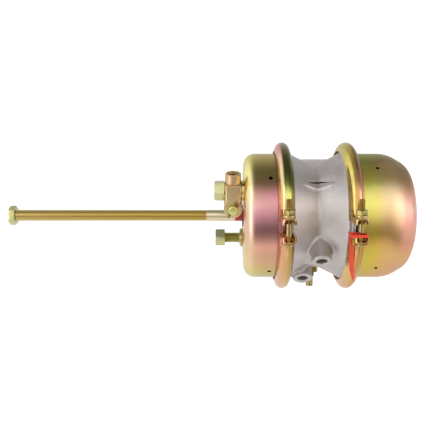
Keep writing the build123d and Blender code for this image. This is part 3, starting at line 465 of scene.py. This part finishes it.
# ------------------------------------------------------------------ clamp rings
# Each clamp is two halves rolled from 3 mm steel strip to a V section, with folded ears that two
# bolts draw together. The plating shows rose and gold on the crown and olive down the flanks. The
# brightest rose and gold are partly painted highlights, and the dark olive stripes on the crown are
# painted reflections.
service_clamp_chromate_and_painted_light = chromated_zinc_with_painted_light(
    "yellow_chromate_on_service_clamp",
    bands=[(-180, "#C8AE78"), (-120, "#D2A07C"), (-70, "#E2AE8E"), (-45, "#E6BA8E"),
           (-20, "#DCA48C"), (0, "#E4B886"), (18, "#F2DC9C"), (38, "#FCE4BC"), (56, "#E0A09C"),
           (82, "#DA9094"), (104, "#BEB06C"), (180, "#C8AE78")],
    second=[(-180, "#B8A868"), (-60, "#E4B488"), (-12, "#D0A070"), (4, "#C8A878"),
            (16, "#F4E8A0"), (24, "#8E9A50"), (34, "#4E6030"), (48, "#50482C"), (64, "#8A6E58"),
            (90, "#A89878"), (180, "#B8A868")],
    split=(47.5, 50.5), drift=8, roughness=0.22, mottle=0.12, tints=("#DCA098", "#C6BF62"),
    along=[(42, "#FFF0E4"), (51, "#FFFFFF"), (54.5, "#F4FFE0"), (57.5, "#E0E8B0"),
           (65, "#C8D8A0")])
# The spring clamp's colours hold painted highlights and a dark painted reflection too.
spring_clamp_chromate_and_painted_light = chromated_zinc_with_painted_light(
    "yellow_chromate_on_spring_clamp",
    bands=[(-180, "#C0AE70"), (-120, "#C6A478"), (-75, "#DCA484"), (-45, "#E8C488"),
           (-20, "#D6BE80"), (0, "#D2B084"), (16, "#DCBE80"), (34, "#F6E69A"), (54, "#D0BE68"),
           (76, "#CCBE78"), (100, "#B9AC66"), (180, "#C0AE70")],
    second=[(-180, "#C0AE70"), (-60, "#D8B080"), (-14, "#B89A60"), (6, "#D8BC94"),
            (20, "#FFD2BC"), (30, "#E4B098"), (40, "#A08868"), (56, "#7C7040"), (76, "#B8AC68"),
            (180, "#C0AE70")],
    split=(141.5, 144.5), drift=8, roughness=0.22, mottle=0.12, tints=("#D59C90", "#BDB65A"),
    along=[(131, "#FFFFE0"), (139, "#FFF8D8"), (142.5, "#F0D8B0"), (146, "#FFE8E0"),
           (154, "#FFE0DC")])


def eased(mesh, width, angle=30, segments=2):
    """The mesh with its sharp edges eased by a small round, width in millimetres."""
    thing = loose("eased", mesh)
    edge = thing.modifiers.new("eased_edges", "BEVEL")
    edge.width, edge.segments, edge.limit_method = width * mm, segments, "ANGLE"
    edge.angle_limit, edge.use_clamp_overlap, edge.miter_outer = radians(angle), True, "MITER_ARC"
    return applied(thing)


rolled_edge = 0.35
for clamp, finish in (("service", service_clamp_chromate_and_painted_light), ("spring", spring_clamp_chromate_and_painted_light)):
    for half in ("upper", "lower"):
        node = f"{clamp}_clamp_{half}_half"
        piece(f"{node}_strip", eased(cad_copy(node), rolled_edge), finish, "chamber", [node])


# ------------------------------------------------------------------ bolts, studs and threads
# Zinc-plated steel fasteners with rolled threads, nuts and spring washers. A thread is a helical
# ridge of its real pitch round a core, such as 18 to the inch on the push rod and 11 on the studs.
thread_tree = bpy.data.node_groups.new("rolled_thread", "GeometryNodeTree")
for label in ("Radius", "Pitch", "Depth", "Start", "End", "Tip radius", "Tip start"):
    thread_tree.interface.new_socket(name=label, in_out="INPUT", socket_type="NodeSocketFloat")
thread_tree.interface.new_socket(name="Finish", in_out="INPUT", socket_type="NodeSocketMaterial")
thread_tree.interface.new_socket(name="Geometry", in_out="OUTPUT", socket_type="NodeSocketGeometry")
size = add(thread_tree, "NodeGroupInput").outputs
where = add(thread_tree, "GeometryNodeInputPosition").outputs[0]
place = add(thread_tree, "ShaderNodeSeparateXYZ", inputs={0: where}).outputs

# The sums behind the helix, then those that keep the ridge between its ends and chamfer its tip.
sums = {item.name: item for item in size if item.name}
sums.update(zip("xyz", place))
for result, operation, first, second in (
        ("length", "SUBTRACT", "End", "Start"), ("turns", "DIVIDE", "length", "Pitch"),
        ("root", "SUBTRACT", "Radius", "Depth"), ("half pitch", "MULTIPLY", "Pitch", 0.5),
        ("x squared", "MULTIPLY", "x", "x"), ("y squared", "MULTIPLY", "y", "y"),
        ("squares", "ADD", "x squared", "y squared"), ("off axis", "SQRT", "squares", 0.0),
        ("short of tip", "SUBTRACT", "Tip start", "z"),
        ("limit", "ADD", "Tip radius", "short of tip"), ("ratio", "DIVIDE", "limit", "off axis"),
        ("drawn in", "MINIMUM", 1.0, "ratio"), ("below end", "MINIMUM", "z", "End"),
        ("new z", "MAXIMUM", "below end", "Start"), ("new x", "MULTIPLY", "x", "drawn in"),
        ("new y", "MULTIPLY", "y", "drawn in")):
    sums[result] = add(thread_tree, "ShaderNodeMath", {"operation": operation}, {
        0: sums.get(first, first), 1: sums.get(second, second)}).outputs[0]

helix = add(thread_tree, "GeometryNodeCurveSpiral", inputs={
    "Resolution": 24, "Rotations": sums["turns"], "Start Radius": sums["root"],
    "End Radius": sums["root"], "Height": sums["length"]})
upright = add(thread_tree, "GeometryNodeSetCurveNormal", {"mode": "Z_UP"},
              {"Curve": helix.outputs[0]})
diamond = add(thread_tree, "GeometryNodeCurvePrimitiveCircle", {"mode": "RADIUS"},
              {"Resolution": 4, "Radius": 1.0})
flat = add(thread_tree, "ShaderNodeCombineXYZ", inputs={
    0: size["Depth"], 1: sums["half pitch"], 2: 1.0})
ridge_shape = add(thread_tree, "GeometryNodeTransform", inputs={
    "Geometry": diamond.outputs[0], "Scale": flat.outputs[0]})
ridge = add(thread_tree, "GeometryNodeCurveToMesh", inputs={
    "Curve": upright.outputs[0], "Profile Curve": ridge_shape.outputs[0], "Fill Caps": True})
lift = add(thread_tree, "ShaderNodeCombineXYZ", inputs={2: size["Start"]})
raised = add(thread_tree, "GeometryNodeTransform", inputs={
    "Geometry": ridge.outputs[0], "Translation": lift.outputs[0]})
moved = add(thread_tree, "ShaderNodeCombineXYZ", inputs={
    0: sums["new x"], 1: sums["new y"], 2: sums["new z"]})
tapered = add(thread_tree, "GeometryNodeSetPosition", inputs={
    "Geometry": raised.outputs[0], "Position": moved.outputs[0]})
real = add(thread_tree, "GeometryNodeRealizeInstances", inputs={0: tapered.outputs[0]})
coated = add(thread_tree, "GeometryNodeSetMaterial", inputs={
    0: real.outputs[0], "Material": size["Finish"]})
add(thread_tree, "NodeGroupOutput", inputs={0: coated.outputs[0]})


def built(tree, **values):
    """The mesh that a Geometry Nodes tree makes from these input values."""
    thing = loose("built", bpy.data.meshes.new("empty"))
    modifier = thing.modifiers.new("nodes", "NODES")
    modifier.node_group = tree
    for item in tree.interface.items_tree:
        if item.in_out == "INPUT" and item.name.replace(" ", "_").lower() in values:
            modifier[item.identifier] = values[item.name.replace(" ", "_").lower()]
    return applied(thing)


inch = 25.4


def threaded(radius, pitch, start, end, place, finish, chamfer=1.2):
    """Core and thread along a place's z axis, chamfered at the far end, in millimetres."""
    depth = 0.54 * pitch
    ridge = built(thread_tree, radius=radius * mm, pitch=pitch * mm, depth=depth * mm,
                  start=start * mm, end=end * mm, tip_radius=(radius - chamfer) * mm,
                  tip_start=end * mm, finish=finish)
    ridge.transform(place)
    core = cylinder_mesh(radius - depth, start, end, place, 32)
    return joined([ridge, core])


def pale_chromate(name, first, second, roughness):
    """Thin, pale chromate on small fasteners, with faint clouds between two tints."""
    material, tree, shader = principled(name, Metallic=1.0, Roughness=roughness)
    cloud_size = 9
    place = add(tree, "ShaderNodeTexCoord").outputs["Object"]
    clouds = add(tree, "ShaderNodeTexNoise", inputs={
        "Vector": place, "Scale": 1 / (cloud_size * mm), "Detail": 3.0, "Roughness": 0.6})
    ramp = add(tree, "ShaderNodeValToRGB", inputs={"Fac": clouds.outputs["Fac"]})
    set_stops(ramp, [(0.35, first), (0.65, second)])
    tree.links.new(ramp.outputs["Color"], shader.inputs["Base Color"])
    return material


# Nuts and studs took the thinnest film and are a greenish straw. Bolts and washers are warmer gold,
# and the release bolt a dull dark olive. The clamp nuts are olive, painted darker as shade.
nut_chromate = pale_chromate("pale_chromate_on_nuts", "#D2C894", "#CCCE98", 0.26)
stud_chromate = pale_chromate("pale_chromate_on_studs", "#BAB078", "#C6C288", 0.32)
bolt_chromate = pale_chromate("yellow_chromate_on_clamp_bolts", "#A8905A", "#BCA670", 0.18)
clamp_nut_chromate_and_painted_shade = pale_chromate("olive_chromate_on_clamp_nuts", "#8A8048", "#9E9258", 0.24)
washer_chromate = pale_chromate("yellow_chromate_on_washers", "#D8BC84", "#DCC890", 0.28)
release_chromate = pale_chromate("olive_chromate_on_release_bolt", "#9A8A58", "#AA9C66", 0.35)

stud_radius, stud_pitch, stud_thread, stud_end = 7.94, inch / 11, 5.0, 39.6
stud_inside, stud_neck, stud_head, stud_head_depth = -3.35, 7.5, 12.0, 5
for side, tilt in (("upper", stud_tilt), ("lower", stud_tilt + 180)):
    place = on_stud_circle(tilt, -pi / 2)
    shank = threaded(stud_radius, stud_pitch, stud_thread, stud_end, place, stud_chromate)
    plain = cylinder_mesh(stud_neck, stud_inside - 1, stud_thread + 0.4, place)
    head = cylinder_mesh(stud_head, stud_inside - stud_head_depth, stud_inside, place)
    piece(f"{side}_stud", joined([shank, plain, head]), stud_chromate, "chamber",
          [f"{side}_mounting_stud"])
    piece(f"{side}_stud_hex_nut", eased(cad_copy(f"{side}_stud_nut"), 0.3), nut_chromate, "chamber",
          [f"{side}_stud_nut"])
    piece(f"{side}_stud_spring_washer", eased(cad_copy(f"{side}_stud_lock_washer"), 0.3),
          washer_chromate, "chamber", [f"{side}_stud_lock_washer"])

# M8 carriage bolts, heights along each bolt from the plane in which the clamp's halves meet.
joint_tilt, bolt_circle = -9.3, 116.0
bolt_radius, bolt_pitch, bolt_neck, bolt_head = 4.0, 1.25, 3.6, 6.5
head_top, head_bottom, neck_start, thread_start, bolt_end = -19.9, -16.95, -17.2, 8.0, 39.0
for clamp, x in (("service", 53.3), ("spring", 142.5)):
    bolts = []
    for hand in (-1, 1):
        joint = Matrix.Translation((x * mm, 0, 0)) @ Matrix.Rotation(radians(-joint_tilt), 4, "X")
        place = joint @ Matrix.Translation((0, hand * bolt_circle * mm, 0))
        head = cylinder_mesh(bolt_head, head_top, head_bottom, place, 40)
        bolts.append(threaded(bolt_radius, bolt_pitch, thread_start, bolt_end, place,
                              bolt_chromate, 0.8))
        bolts.append(cylinder_mesh(bolt_neck, neck_start, thread_start + 0.4, place, 32))
        bolts.append(eased(head, 1.8, 30, 4))
    piece(f"{clamp}_clamp_carriage_bolts", joined(bolts), bolt_chromate, "chamber",
          [f"{clamp}_clamp_bolts"])
    for what, finish, slot in (("washers", washer_chromate, "washer_plating"),
                               ("nuts", clamp_nut_chromate_and_painted_shade, "bolt_plating")):
        node = f"{clamp}_clamp_{what}"
        piece(f"{node}_plated", eased(cad_copy(node), 0.2), finish, "chamber", [node])


# ------------------------------------------------------------------ push rod and jam nut
# 5/8 inch steel rod, threaded 18 to the inch from its tip almost to the housing, plain from there
# on. A painted red band beside the housing shows when the stroke has grown too long.
rod_tip, thread_end, band_start = -331.0, -51.6, -11.5
# Gold on the thread, paler on the smooth shank, where the film is thinner and reflects more; the red
# enamel of the band hides the metal.
rod_finish, tree, shader = principled("yellow_chromate_on_push_rod", Metallic=1.0, Roughness=0.3)
place = add(tree, "ShaderNodeTexCoord").outputs["Object"]
axes = add(tree, "ShaderNodeSeparateXYZ", inputs={0: place})
tone = add(tree, "ShaderNodeMapRange", inputs={
    "Value": axes.outputs["X"], "From Min": -60 * mm, "From Max": -44 * mm})
surface_tone = add(tree, "ShaderNodeValToRGB", inputs={"Fac": tone.outputs[0]})
set_stops(surface_tone, [(0.4, "#DAC688"), (0.6, "#E2D4B0")])
band = add(tree, "ShaderNodeMath", {"operation": "GREATER_THAN"}, {
    0: axes.outputs["X"], 1: band_start * mm})
painted = add(tree, "ShaderNodeMix", {"data_type": "RGBA"}, {
    0: band.outputs[0], 6: surface_tone.outputs["Color"], 7: linear("#B4202A")})
bare = add(tree, "ShaderNodeMath", {"operation": "SUBTRACT"}, {0: 1.0, 1: band.outputs[0]})
tree.links.new(painted.outputs[2], shader.inputs["Base Color"])
tree.links.new(bare.outputs[0], shader.inputs["Metallic"])

rod_radius, rod_neck, rod_pitch = 7.94, 7.55, inch / 18
plate_face, plate_back, rod_end = 12.85, 15.85, 20.0
shank = threaded(rod_radius, rod_pitch, -thread_end, -rod_tip, Matrix.Rotation(-pi / 2, 4, "Y"),
                 rod_finish)
plain = turned_mesh([
    (thread_end - 0.5, 0, 0), (thread_end - 0.5, rod_neck, 0), (thread_end, rod_neck, 0),
    (thread_end + 1.5, rod_radius, 0), (plate_face, rod_radius, 0), (plate_face, 10.4, 0),
    (plate_back, 14.0, 0), (plate_back, rod_radius, 0), (rod_end, rod_radius, 0),
    (rod_end, 0, 0)], 64)
piece("push_rod_threaded", joined([shank, plain]), rod_finish, "push_rod", ["push_rod"])
piece("jam_nut_hex", eased(cad_copy("jam_nut"), 0.3), nut_chromate, "push_rod", ["jam_nut"])


# ------------------------------------------------------------------ clevis yoke, pin and cotter
# Forged fork, drilled and tapped for the push rod, that travels on the upper stud with its turned
# pin and wire cotter in place. All three are zinc plated and chromated like the rest.
forged_edge, pin_edge = 0.6, 0.25
# The forging's dull skin turns the film brown. The turned pin stays a clean greenish yellow, and the
# cotter's olive is painted dark as shade.
yoke_chromate = pale_chromate("brown_chromate_on_forging", "#D8AE88", "#CEC088", 0.38)
pin_chromate = pale_chromate("yellow_chromate_on_pin", "#D2CC7C", "#DCD890", 0.32)
cotter_chromate_and_painted_shade = pale_chromate("dark_olive_chromate_on_cotter", "#6C5E38", "#84744A", 0.25)
piece("clevis_fork", eased(cad_copy("clevis_yoke"), forged_edge), yoke_chromate, "chamber",
      ["clevis_yoke"])
piece("clevis_pin_headed", eased(cad_copy("clevis_pin"), pin_edge), pin_chromate, "clevis_pin",
      ["clevis_pin"])
piece("clevis_cotter", cad_copy("clevis_cotter_pin"), cotter_chromate_and_painted_shade, "clevis_pin",
      ["clevis_cotter_pin"], 50)


# ------------------------------------------------------------------ release bolt
# Steel caging bolt in its storage pocket at the back of the case, held there by its washer and nut.
# Its cross pin locks in the pressure plate when it is put through the caging hole.
pocket_x, pocket_y, release_radius, release_pitch = 103.6, 76, 7.94, inch / 11
thread_top, thread_bottom, bolt_top = -60.0, 93.3, -79.7
dog_radius, dog_start, dog_end = 5.5, 92.5, 108.4
pin_height, pin_radius, pin_half = 74.5, 4.2, 15.0
down = Matrix.Translation((pocket_x * mm, pocket_y * mm, 0)) @ Matrix.Rotation(pi, 4, "X")
shank = threaded(release_radius, release_pitch, thread_top, thread_bottom, down, release_chromate)
head = eased(cylinder_mesh(release_radius, bolt_top, thread_top, down), 0.9)
dog = eased(cylinder_mesh(dog_radius, dog_start, dog_end, down), 1.8, 30, 4)
cross = Matrix.Translation((pocket_x * mm, pocket_y * mm, pin_height * mm)) @ Matrix.Rotation(
    pi / 2, 4, "Y")
pin = eased(cylinder_mesh(pin_radius, -pin_half, pin_half, cross, 32), 0.6)
piece("release_bolt_threaded", joined([shank, head, dog, pin]), release_chromate,
      "chamber", ["release_bolt"])
piece("release_bolt_flat_washer", eased(cad_copy("release_bolt_washer"), 0.25), release_chromate,
      "chamber", ["release_bolt_washer"])
piece("release_bolt_hex_nut", eased(cad_copy("release_bolt_nut"), 0.3), release_chromate,
      "chamber", ["release_bolt_nut"])


# ------------------------------------------------------------------ tamper strap
# Thin moulded strap of red-orange nylon, looped round the clamp bolt and drawn down the ring; it is
# cut when the spring clamp is opened. The plastic is coloured right through, with a soft gloss.
strap_plastic = principled("red_orange_nylon", Base_Color=linear("#EA4228"), Roughness=0.42)[0]
strap = cad_copy("tamper_seal_strap")
shape = bmesh.new()
shape.from_mesh(strap)
bmesh.ops.triangulate(shape, faces=shape.faces)
for height in range(-92, -16, 3):
    bmesh.ops.bisect_plane(shape, geom=shape.verts[:] + shape.edges[:] + shape.faces[:],
                           plane_co=(0, 0, height * mm), plane_no=(0, 0, 1))

# The tail rides up over the lower ear's gusset, and is wider where it leaves the loop.
tail_reach, tail_top, tail_bottom, tail_lift = 106, 11, 40, 3.6
wide_edge_x, wide_top, wide_bottom, widened = 132.2, 19, 27.6, 3.4
for vertex in shape.verts:
    x, y, z = vertex.co / mm
    reach, below = hypot(y, z), degrees(atan2(-z, -y))
    if reach < tail_reach and tail_top < below < tail_bottom:
        fade_in, fade_out = (below - tail_top) / 5, (tail_bottom - 1 - below) / 9
        lift = tail_lift * min(1, fade_in) * max(0, min(1, fade_out))
        vertex.co *= Vector((1, (reach + lift) / reach, (reach + lift) / reach))
        if x > wide_edge_x and wide_top < below < wide_bottom:
            fade = min(1, (below - wide_top) / 1.5, (wide_bottom - below) / 1.6)
            vertex.co.x += widened * mm * fade
shape.to_mesh(strap)
shape.free()
piece("tamper_strap", eased(strap, 0.2), strap_plastic, "chamber", ["tamper_seal_strap"])


# ------------------------------------------------------------------ rubber and plastic pieces
# Moulded rubber plug in the caging hole, moulded nylon guide round the push rod, and turned acetal
# bush with two rubber O-rings round the adapter rod. Rubber is near black and matt, nylon black with
# a slight gloss, and acetal a waxy off-white.
black_rubber = principled("moulded_black_rubber", Base_Color=linear("#232325"), Roughness=0.62)[0]
black_nylon = principled("moulded_black_nylon", Base_Color=linear("#2A2A2C"), Roughness=0.45)[0]
natural_acetal = principled(
    "machined_natural_acetal", Base_Color=linear("#D8D5CC"), Roughness=0.4)[0]
piece("caging_hole_plug", eased(cad_copy("caging_port_plug"), 0.3), black_rubber, "chamber",
      ["caging_port_plug"])
piece("rod_guide", eased(cad_copy("push_rod_guide"), 0.2), black_nylon, "chamber",
      ["push_rod_guide"])
for node, finish, slot in (("centre_guide_bush", natural_acetal, "bush_plastic"),
                           ("centre_rod_seals", black_rubber, "seal_rubber")):
    piece(f"{node}_fitted", cad_copy(node), finish, "chamber", [node])


# ------------------------------------------------------------------ plates inside
# Pressed steel push plate and adapter foot, turned steel adapter rod and cast aluminium pressure
# plate. They push on each other and on the diaphragms. Bare steel is a plain, softly shining grey.
plain_steel = principled(
    "bare_pressed_steel", Base_Color=linear("#9C9C9E"), Metallic=1.0, Roughness=0.38)[0]
for node, body, finish, slot in (
        ("push_plate", "push_rod", plain_steel, "plate_steel"),
        ("adapter_push_rod", "spring_piston", plain_steel, "plate_steel"),
        ("adapter_push_plate", "spring_piston", plain_steel, "plate_steel"),
        ("pressure_plate", "spring_piston", cast, "piston_aluminium")):
    piece(f"{node}_finished", eased(cad_copy(node), 0.3), finish, body, [node])


# ------------------------------------------------------------------ springs and diaphragms
# The two coil springs and the two moulded rubber diaphragms work between the chamber and the moving
# plates; here each is placed as made, on no body. Bare spring wire is a darker grey than the plates;
# the power spring's coating is black and half glossy, against rust.
spring_steel = principled(
    "plain_spring_steel", Base_Color=linear("#77797C"), Metallic=1.0, Roughness=0.35)[0]
black_coat = principled(
    "black_coated_spring_steel", Base_Color=linear("#1D1D1F"), Roughness=0.4)[0]
for node, name, finish, slot, mover, start, end in (
        ("service_return_spring", "return_coil_spring", spring_steel, "return_spring_steel",
         "push_rod", 3.35, 15.85),
        ("power_spring", "power_coil_spring", black_coat, "power_spring_paint",
         "spring_piston", 229.2, 119.15),
        ("service_diaphragm", "service_side_diaphragm", black_rubber, "diaphragm_rubber",
         "push_rod", 50.6, 23.7),
        ("spring_diaphragm", "spring_side_diaphragm", black_rubber, "diaphragm_rubber",
         "spring_piston", 141.0, 113.0)):
    thing = piece(name, cad_copy(node), finish, None, [node], 40)
    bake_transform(thing)


# ------------------------------------------------------------------ floor, light and camera
# Plain pale floor below the held chamber, a soft panel on the left and one on the right, and a pale
# room that is darker overhead and low in front, so that the plating shows bands.
floor_drop, floor_front, floor_back, floor_half = -0.36, -0.22, 6, 4
# Matt white paint that glows a little, as a lit sweep does.
floor_paint, tree, shader = principled(
    "matt_white_floor", Base_Color=linear("#C6C6C6"), Roughness=1.0,
    Emission_Color=linear("#FFFFFF"))
direct = add(tree, "ShaderNodeLightPath").outputs["Is Camera Ray"]
glow = add(tree, "ShaderNodeMapRange", inputs={"Value": direct, "To Min": 0.5, "To Max": 0.9})
tree.links.new(glow.outputs[0], shader.inputs["Emission Strength"])
shape = bmesh.new()
corners = [(-floor_half, floor_front), (floor_half, floor_front), (floor_half, floor_back),
           (-floor_half, floor_back)]
shape.faces.new([shape.verts.new((x, y, floor_drop)) for x, y in corners])
floor_mesh = bpy.data.meshes.new("floor")
shape.to_mesh(floor_mesh)
shape.free()
floor_mesh.materials.append(floor_paint)
loose("floor", floor_mesh)


def panel(name, power, size_x, size_y, position, colour):
    """Soft light panel aimed at the chamber."""
    target = (0.08, 0, 0)
    lamp = bpy.data.lights.new(name, "AREA")
    lamp.shape, lamp.size, lamp.size_y, lamp.energy = "RECTANGLE", size_x, size_y, power
    lamp.color = linear(colour)[:3]
    holder = bpy.data.objects.new(name, lamp)
    bpy.context.scene.collection.objects.link(holder)
    holder.location = position
    holder.rotation_euler = (Vector(target) - Vector(position)).to_track_quat("-Z", "Y").to_euler()


panel("left_panel", 3.5, 0.4, 1.7, (-1.0, -0.7, 0.1), "#FFFFFF")
panel("right_panel", 3.2, 0.9, 1.2, (1.15, -0.75, 0.1), "#FFF0F0")

room = bpy.data.worlds.new("pale_room")
bpy.context.scene.world = room
room.use_nodes = True
tree = room.node_tree
tree.nodes.clear()
direction = add(tree, "ShaderNodeTexCoord").outputs["Generated"]
axes = add(tree, "ShaderNodeSeparateXYZ", inputs={0: direction})
front = add(tree, "ShaderNodeMath", {"operation": "MULTIPLY"}, {0: axes.outputs["Y"], 1: -1.0})
around = add(tree, "ShaderNodeMath", {"operation": "ARCTAN2"}, {
    0: axes.outputs["Z"], 1: front.outputs[0]})
turn = add(tree, "ShaderNodeMapRange", inputs={
    "Value": around.outputs[0], "From Min": -pi, "From Max": pi})
# Shades of the room by degrees above the front, right round and over the top.
walls = add(tree, "ShaderNodeValToRGB", inputs={"Fac": turn.outputs[0]})
set_stops(walls, [((degree + 180) / 360, colour) for degree, colour in (
    (-180, "#C4C4C4"), (-120, "#DCDCDC"), (-60, "#F0F0F0"), (-38, "#8E8E8E"), (-20, "#8A8A8A"),
    (-4, "#DCDCDC"), (16, "#F2F2F2"), (38, "#E4E4E4"), (54, "#828282"), (92, "#7A7A7A"),
    (112, "#A4A4A4"), (150, "#BCBCBC"), (180, "#C4C4C4"))])
# The room is even to the left, and dimmer low on the right.
left = add(tree, "ShaderNodeMapRange", {"interpolation_type": "SMOOTHSTEP"}, {
    "Value": axes.outputs["X"], "From Min": -0.35, "From Max": -0.6})
aside = add(tree, "ShaderNodeMapRange", {"interpolation_type": "SMOOTHSTEP"}, {
    "Value": axes.outputs["X"], "From Min": 0.3, "From Max": 0.7})
walls = add(tree, "ShaderNodeMix", {"data_type": "RGBA"}, {
    0: left.outputs[0], 6: walls.outputs["Color"], 7: linear("#DCDCDC")})
below = add(tree, "ShaderNodeMapRange", {"interpolation_type": "SMOOTHSTEP"}, {
    "Value": axes.outputs["Z"], "From Min": -0.05, "From Max": -0.5})
corner = add(tree, "ShaderNodeMath", {"operation": "MULTIPLY"}, {
    0: aside.outputs[0], 1: below.outputs[0]})
dimmed = add(tree, "ShaderNodeMapRange", inputs={
    "Value": corner.outputs[0], "To Min": 1.4, "To Max": 0.6})
seen = add(tree, "ShaderNodeLightPath").outputs["Is Camera Ray"]
colour = add(tree, "ShaderNodeMix", {"data_type": "RGBA"}, {
    0: seen, 6: walls.outputs[2], 7: (1.0, 1.0, 1.0, 1.0)})
strength = add(tree, "ShaderNodeMix", inputs={0: seen, 2: dimmed.outputs[0], 3: 1.2})
sky = add(tree, "ShaderNodeBackground", inputs={
    "Color": colour.outputs[2], "Strength": strength.outputs[0]})
add(tree, "ShaderNodeOutputWorld", inputs={0: sky.outputs[0]})
bpy.context.scene.view_settings.view_transform = "Standard"

# The camera looks squarely across the chamber's axis, at the place across on it. A millimetre on the
# axis covers pixels_per_mm, and that place lies centre_across pixels from the image's left edge.
sensor, image_width = 36.0, 430.0
distance, across, pixels_per_mm = 888.0, -25.0, 0.706
centre_across, raised = 225.5, 0.3
eye = bpy.data.cameras.new("camera")
eye.sensor_width = sensor
eye.lens = sensor * pixels_per_mm * distance / image_width
eye.shift_x = (image_width / 2 - centre_across) / image_width
eye.shift_y = raised / image_width
eye.clip_start, eye.clip_end = 0.01, 50
camera = bpy.data.objects.new("camera", eye)
bpy.context.scene.collection.objects.link(camera)
camera.location = (across * mm, -distance * mm, 0)
camera.rotation_euler = (pi / 2, 0, 0)
bpy.context.scene.camera = camera
